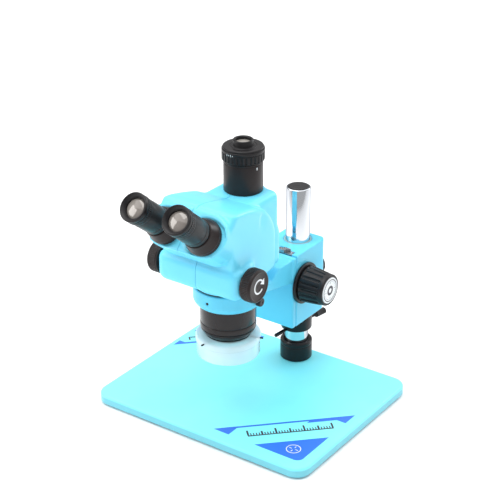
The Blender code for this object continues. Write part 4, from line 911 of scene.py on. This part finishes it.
def camera_tower():
    x, y = middle("camera_tube").x, middle("camera_tube").y
    place = upright(x, y)
    low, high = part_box("camera_tube")
    out = (high.x - low.x) / 2
    inner = out - 0.003
    tube = turned("port_tube",
                  [(inner, low.z), (out - 0.0006, low.z), (out, low.z + 0.0006), (out, high.z - 0.0030),
                   (out - 0.0004, high.z - 0.0027), (out - 0.0004, high.z - 0.0022), (out, high.z - 0.0019),
                   (out, high.z - 0.0006), (out - 0.0006, high.z), (inner, high.z)],
                  place, 144, ring=True)
    hand_in(tube, "head", "brown_black", BROWN_BLACK, "camera_tube")
    mark_place = place @ Matrix.Rotation(math.radians(-12), 4, "Z") @ upright(out, 0, high.z - 0.0062)
    mark = printed("port_index", (-0.0007, -0.0016), (0.0007, 0.0016), (),
                   mark_place @ Matrix.Rotation(math.pi / 2, 4, "Y") @ Matrix.Rotation(math.pi / 2, 4, "Z"),
                   INK_RISE)
    hand_in(mark, "head", "brown_black", WHITE_INK)
    low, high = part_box("camera_focus_ring")
    out = (high.x - low.x) / 2
    ring = turned("port_focus_ring",
                  [(inner, low.z), (out - 0.0014, low.z), (out, low.z + 0.0012), (out, low.z + 0.0016),
                   (out, low.z + 0.0104), (out, low.z + 0.0108), (out - 0.0006, low.z + 0.0111),
                   (out - 0.0006, low.z + 0.0115), (out, low.z + 0.0118), (out, high.z - 0.0006),
                   (out - 0.0006, high.z), (inner, high.z)], place, 180, ring=True,
                  flutes=(30, 2, low.z + 0.0014, low.z + 0.0106, 0.955), edge=0.0002)
    hand_in(ring, "camera_focus_ring", "black_metal", SATIN_BLACK, "camera_focus_ring")
    marks = []
    for number in range(4):
        turn = Matrix.Rotation(math.radians(-102 + number * 6), 4, "Z")
        stand = place @ turn @ upright(out, 0, high.z - 0.0034) @ Matrix.Rotation(math.pi / 2, 4, "Y")
        reach = 0.0013 if number % 2 == 0 else 0.0007
        marks.append(printed("tick", (-reach, -0.00034), (reach, 0.00034), (), stand, INK_RISE))
    hand_in(joined("port_scale", marks), "camera_focus_ring", "black_metal", WHITE_INK)
    low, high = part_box("camera_mount")
    out = (high.x - low.x) / 2
    cap = turned("port_mount",
                 [(0.0095, low.z), (out, low.z), (out, low.z + 0.0014), (out - 0.0008, low.z + 0.0022),
                  (0.0170, low.z + 0.0022), (0.0164, low.z + 0.0016), (0.0154, low.z + 0.0016),
                  (0.0148, low.z + 0.0022), (0.0127, low.z + 0.0024), (0.0127, high.z - 0.0008),
                  (0.0119, high.z), (0.0110, high.z), (0.0104, high.z - 0.0008), (0.0098, high.z - 0.0010),
                  (0.0095, high.z - 0.0022)], place, 128, ring=True)
    hand_in(cap, "head", "black_metal", SATIN_BLACK, "camera_mount")
    # Painted shade: two thin black discs on the mount stand for the shade inside its pin holes.
    pin_hole_shades = [turned("dimple", [(0.0011, 0.0), (0.0011, 0.00012), (0.0003, 0.00012)],
                      place @ Matrix.Rotation(math.radians(turn), 4, "Z")
                      @ Matrix.Translation((0.0210, 0, low.z + 0.0021)), 32, edge=0) for turn in (-60, 120)]
    hand_in(joined("port_pin_holes", pin_hole_shades), "head", "black_metal", RUBBER)
    low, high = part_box("camera_lens")
    rim = (high.x - low.x) / 2
    lens = turned("port_glass", [(rim, low.z), (rim, high.z - 0.0012), (rim * 0.8, high.z - 0.0007),
                                 (rim * 0.5, high.z - 0.0003), (0.0005, high.z)], place, 96, edge=0)
    hand_in(lens, "head", "lens_glass", LENS, "camera_lens")


# ---------------------------------------------------------------- CAD nodes that stay
KEPT = {
    "base_foot_front_left": RUBBER, "base_foot_front_right": RUBBER, "base_foot_rear_left": RUBBER,
    "base_foot_rear_right": RUBBER, "post_bolt": STEEL, "post_sleeve": NYLON_WITH_CYAN_REFLECTION, "guide_rail_left": STEEL,
    "guide_rail_right": STEEL, "pinion": STEEL, "pinion_bush_left": BRASS, "pinion_bush_right": BRASS,
    "slide_bar": STEEL, "focus_rack": BRASS, "ring_grub_screw": GLOSS_BLACK, "guide_rod": STEEL,
    "zoom_shaft": STEEL, "zoom_cam": BRASS, "lens_carrier_lower": SATIN_BLACK,
    "lens_carrier_upper": SATIN_BLACK,
}


def kept_nodes():
    for node, material in KEPT.items():
        data = frame["nodes"][node].data
        data.materials.clear()
        data.materials.append(material)


# ---------------------------------------------------------------- floor, light and camera
def studio():
    floor_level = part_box("base_foot_front_left")[0].z
    bpy.ops.object.select_all(action="DESELECT")
    bpy.ops.mesh.primitive_plane_add(size=16, location=(0, 0, floor_level))
    floor = bpy.context.object
    floor.name = "studio_floor"
    settle(floor)
    paper = grained("white_paper_floor", srgb(250, 250, 250), srgb(247, 248, 249), 0.85, 0.08, 60.0, 0.00002,
                    cloud=1.0)
    floor.data.materials.append(paper)

    world = bpy.data.worlds.new("studio")
    bpy.context.scene.world = world
    world.use_nodes = True
    background = world.node_tree.nodes["Background"]
    background.inputs["Color"].default_value = (1.0, 1.0, 1.0, 1.0)
    background.inputs["Strength"].default_value = 0.50

    for name, place, aim, size, power, colour in (
        ("ceiling_sheet", (0, 1.0, 5.00), (0, 1.0, 0), 11.0, 470.0, (1.0, 1.0, 1.0)),
        ("overhead_softbox", (-0.25, -0.30, 1.60), (0, 0, 0.1), 1.0, 9.0, (1.0, 1.0, 1.0)),
        ("left_softbox", (-1.30, -1.20, 0.95), (0, -0.05, 0.18), 0.9, 11.0, (1.0, 0.99, 0.98)),
        ("back_strip", (0.55, 1.45, 0.85), (0, 0.05, 0.15), 0.6, 7.0, (0.97, 0.99, 1.0)),
    ):
        lamp = bpy.data.lights.new(name, "AREA")
        lamp.shape = "SQUARE"
        lamp.size = size
        lamp.energy = power
        lamp.color = colour
        item = bpy.data.objects.new(name, lamp)
        item.location = place
        item.rotation_euler = (Vector(aim) - Vector(place)).to_track_quat("-Z", "Y").to_euler()
        bpy.context.scene.collection.objects.link(item)
    bpy.context.scene.view_settings.view_transform = "Standard"


def camera():
    lens = bpy.data.cameras.new("viewpoint")
    lens.lens = 105.9
    lens.sensor_width = 36.0
    lens.clip_start = 0.05
    lens.clip_end = 40.0
    item = bpy.data.objects.new("viewpoint", lens)
    item.location = (0.9592, -1.3700, 1.0074)
    aim = Vector((-0.0783, 0.1056, 0.1370))
    item.rotation_euler = (aim - item.location).to_track_quat("-Z", "Y").to_euler()
    bpy.context.scene.collection.objects.link(item)
    bpy.context.scene.camera = item


def build():
    camera()
    studio()
    base_board()
    corner_print("front", 0.0, 1.0, 0.1310, 0.1933, 0.0145, 0.0180)
    corner_print("rear", math.pi, 0.66, 0.1830, 0.2300, 0.0080, 0.0100)
    post_parts()
    collar_screws()
    block_parts()
    focus_controls()
    clamp()
    ring_screws()
    optics()
    head_cover()
    observation_tubes()
    zoom_controls()
    camera_tower()
    kept_nodes()


build()
bpy.context.view_layer.update()
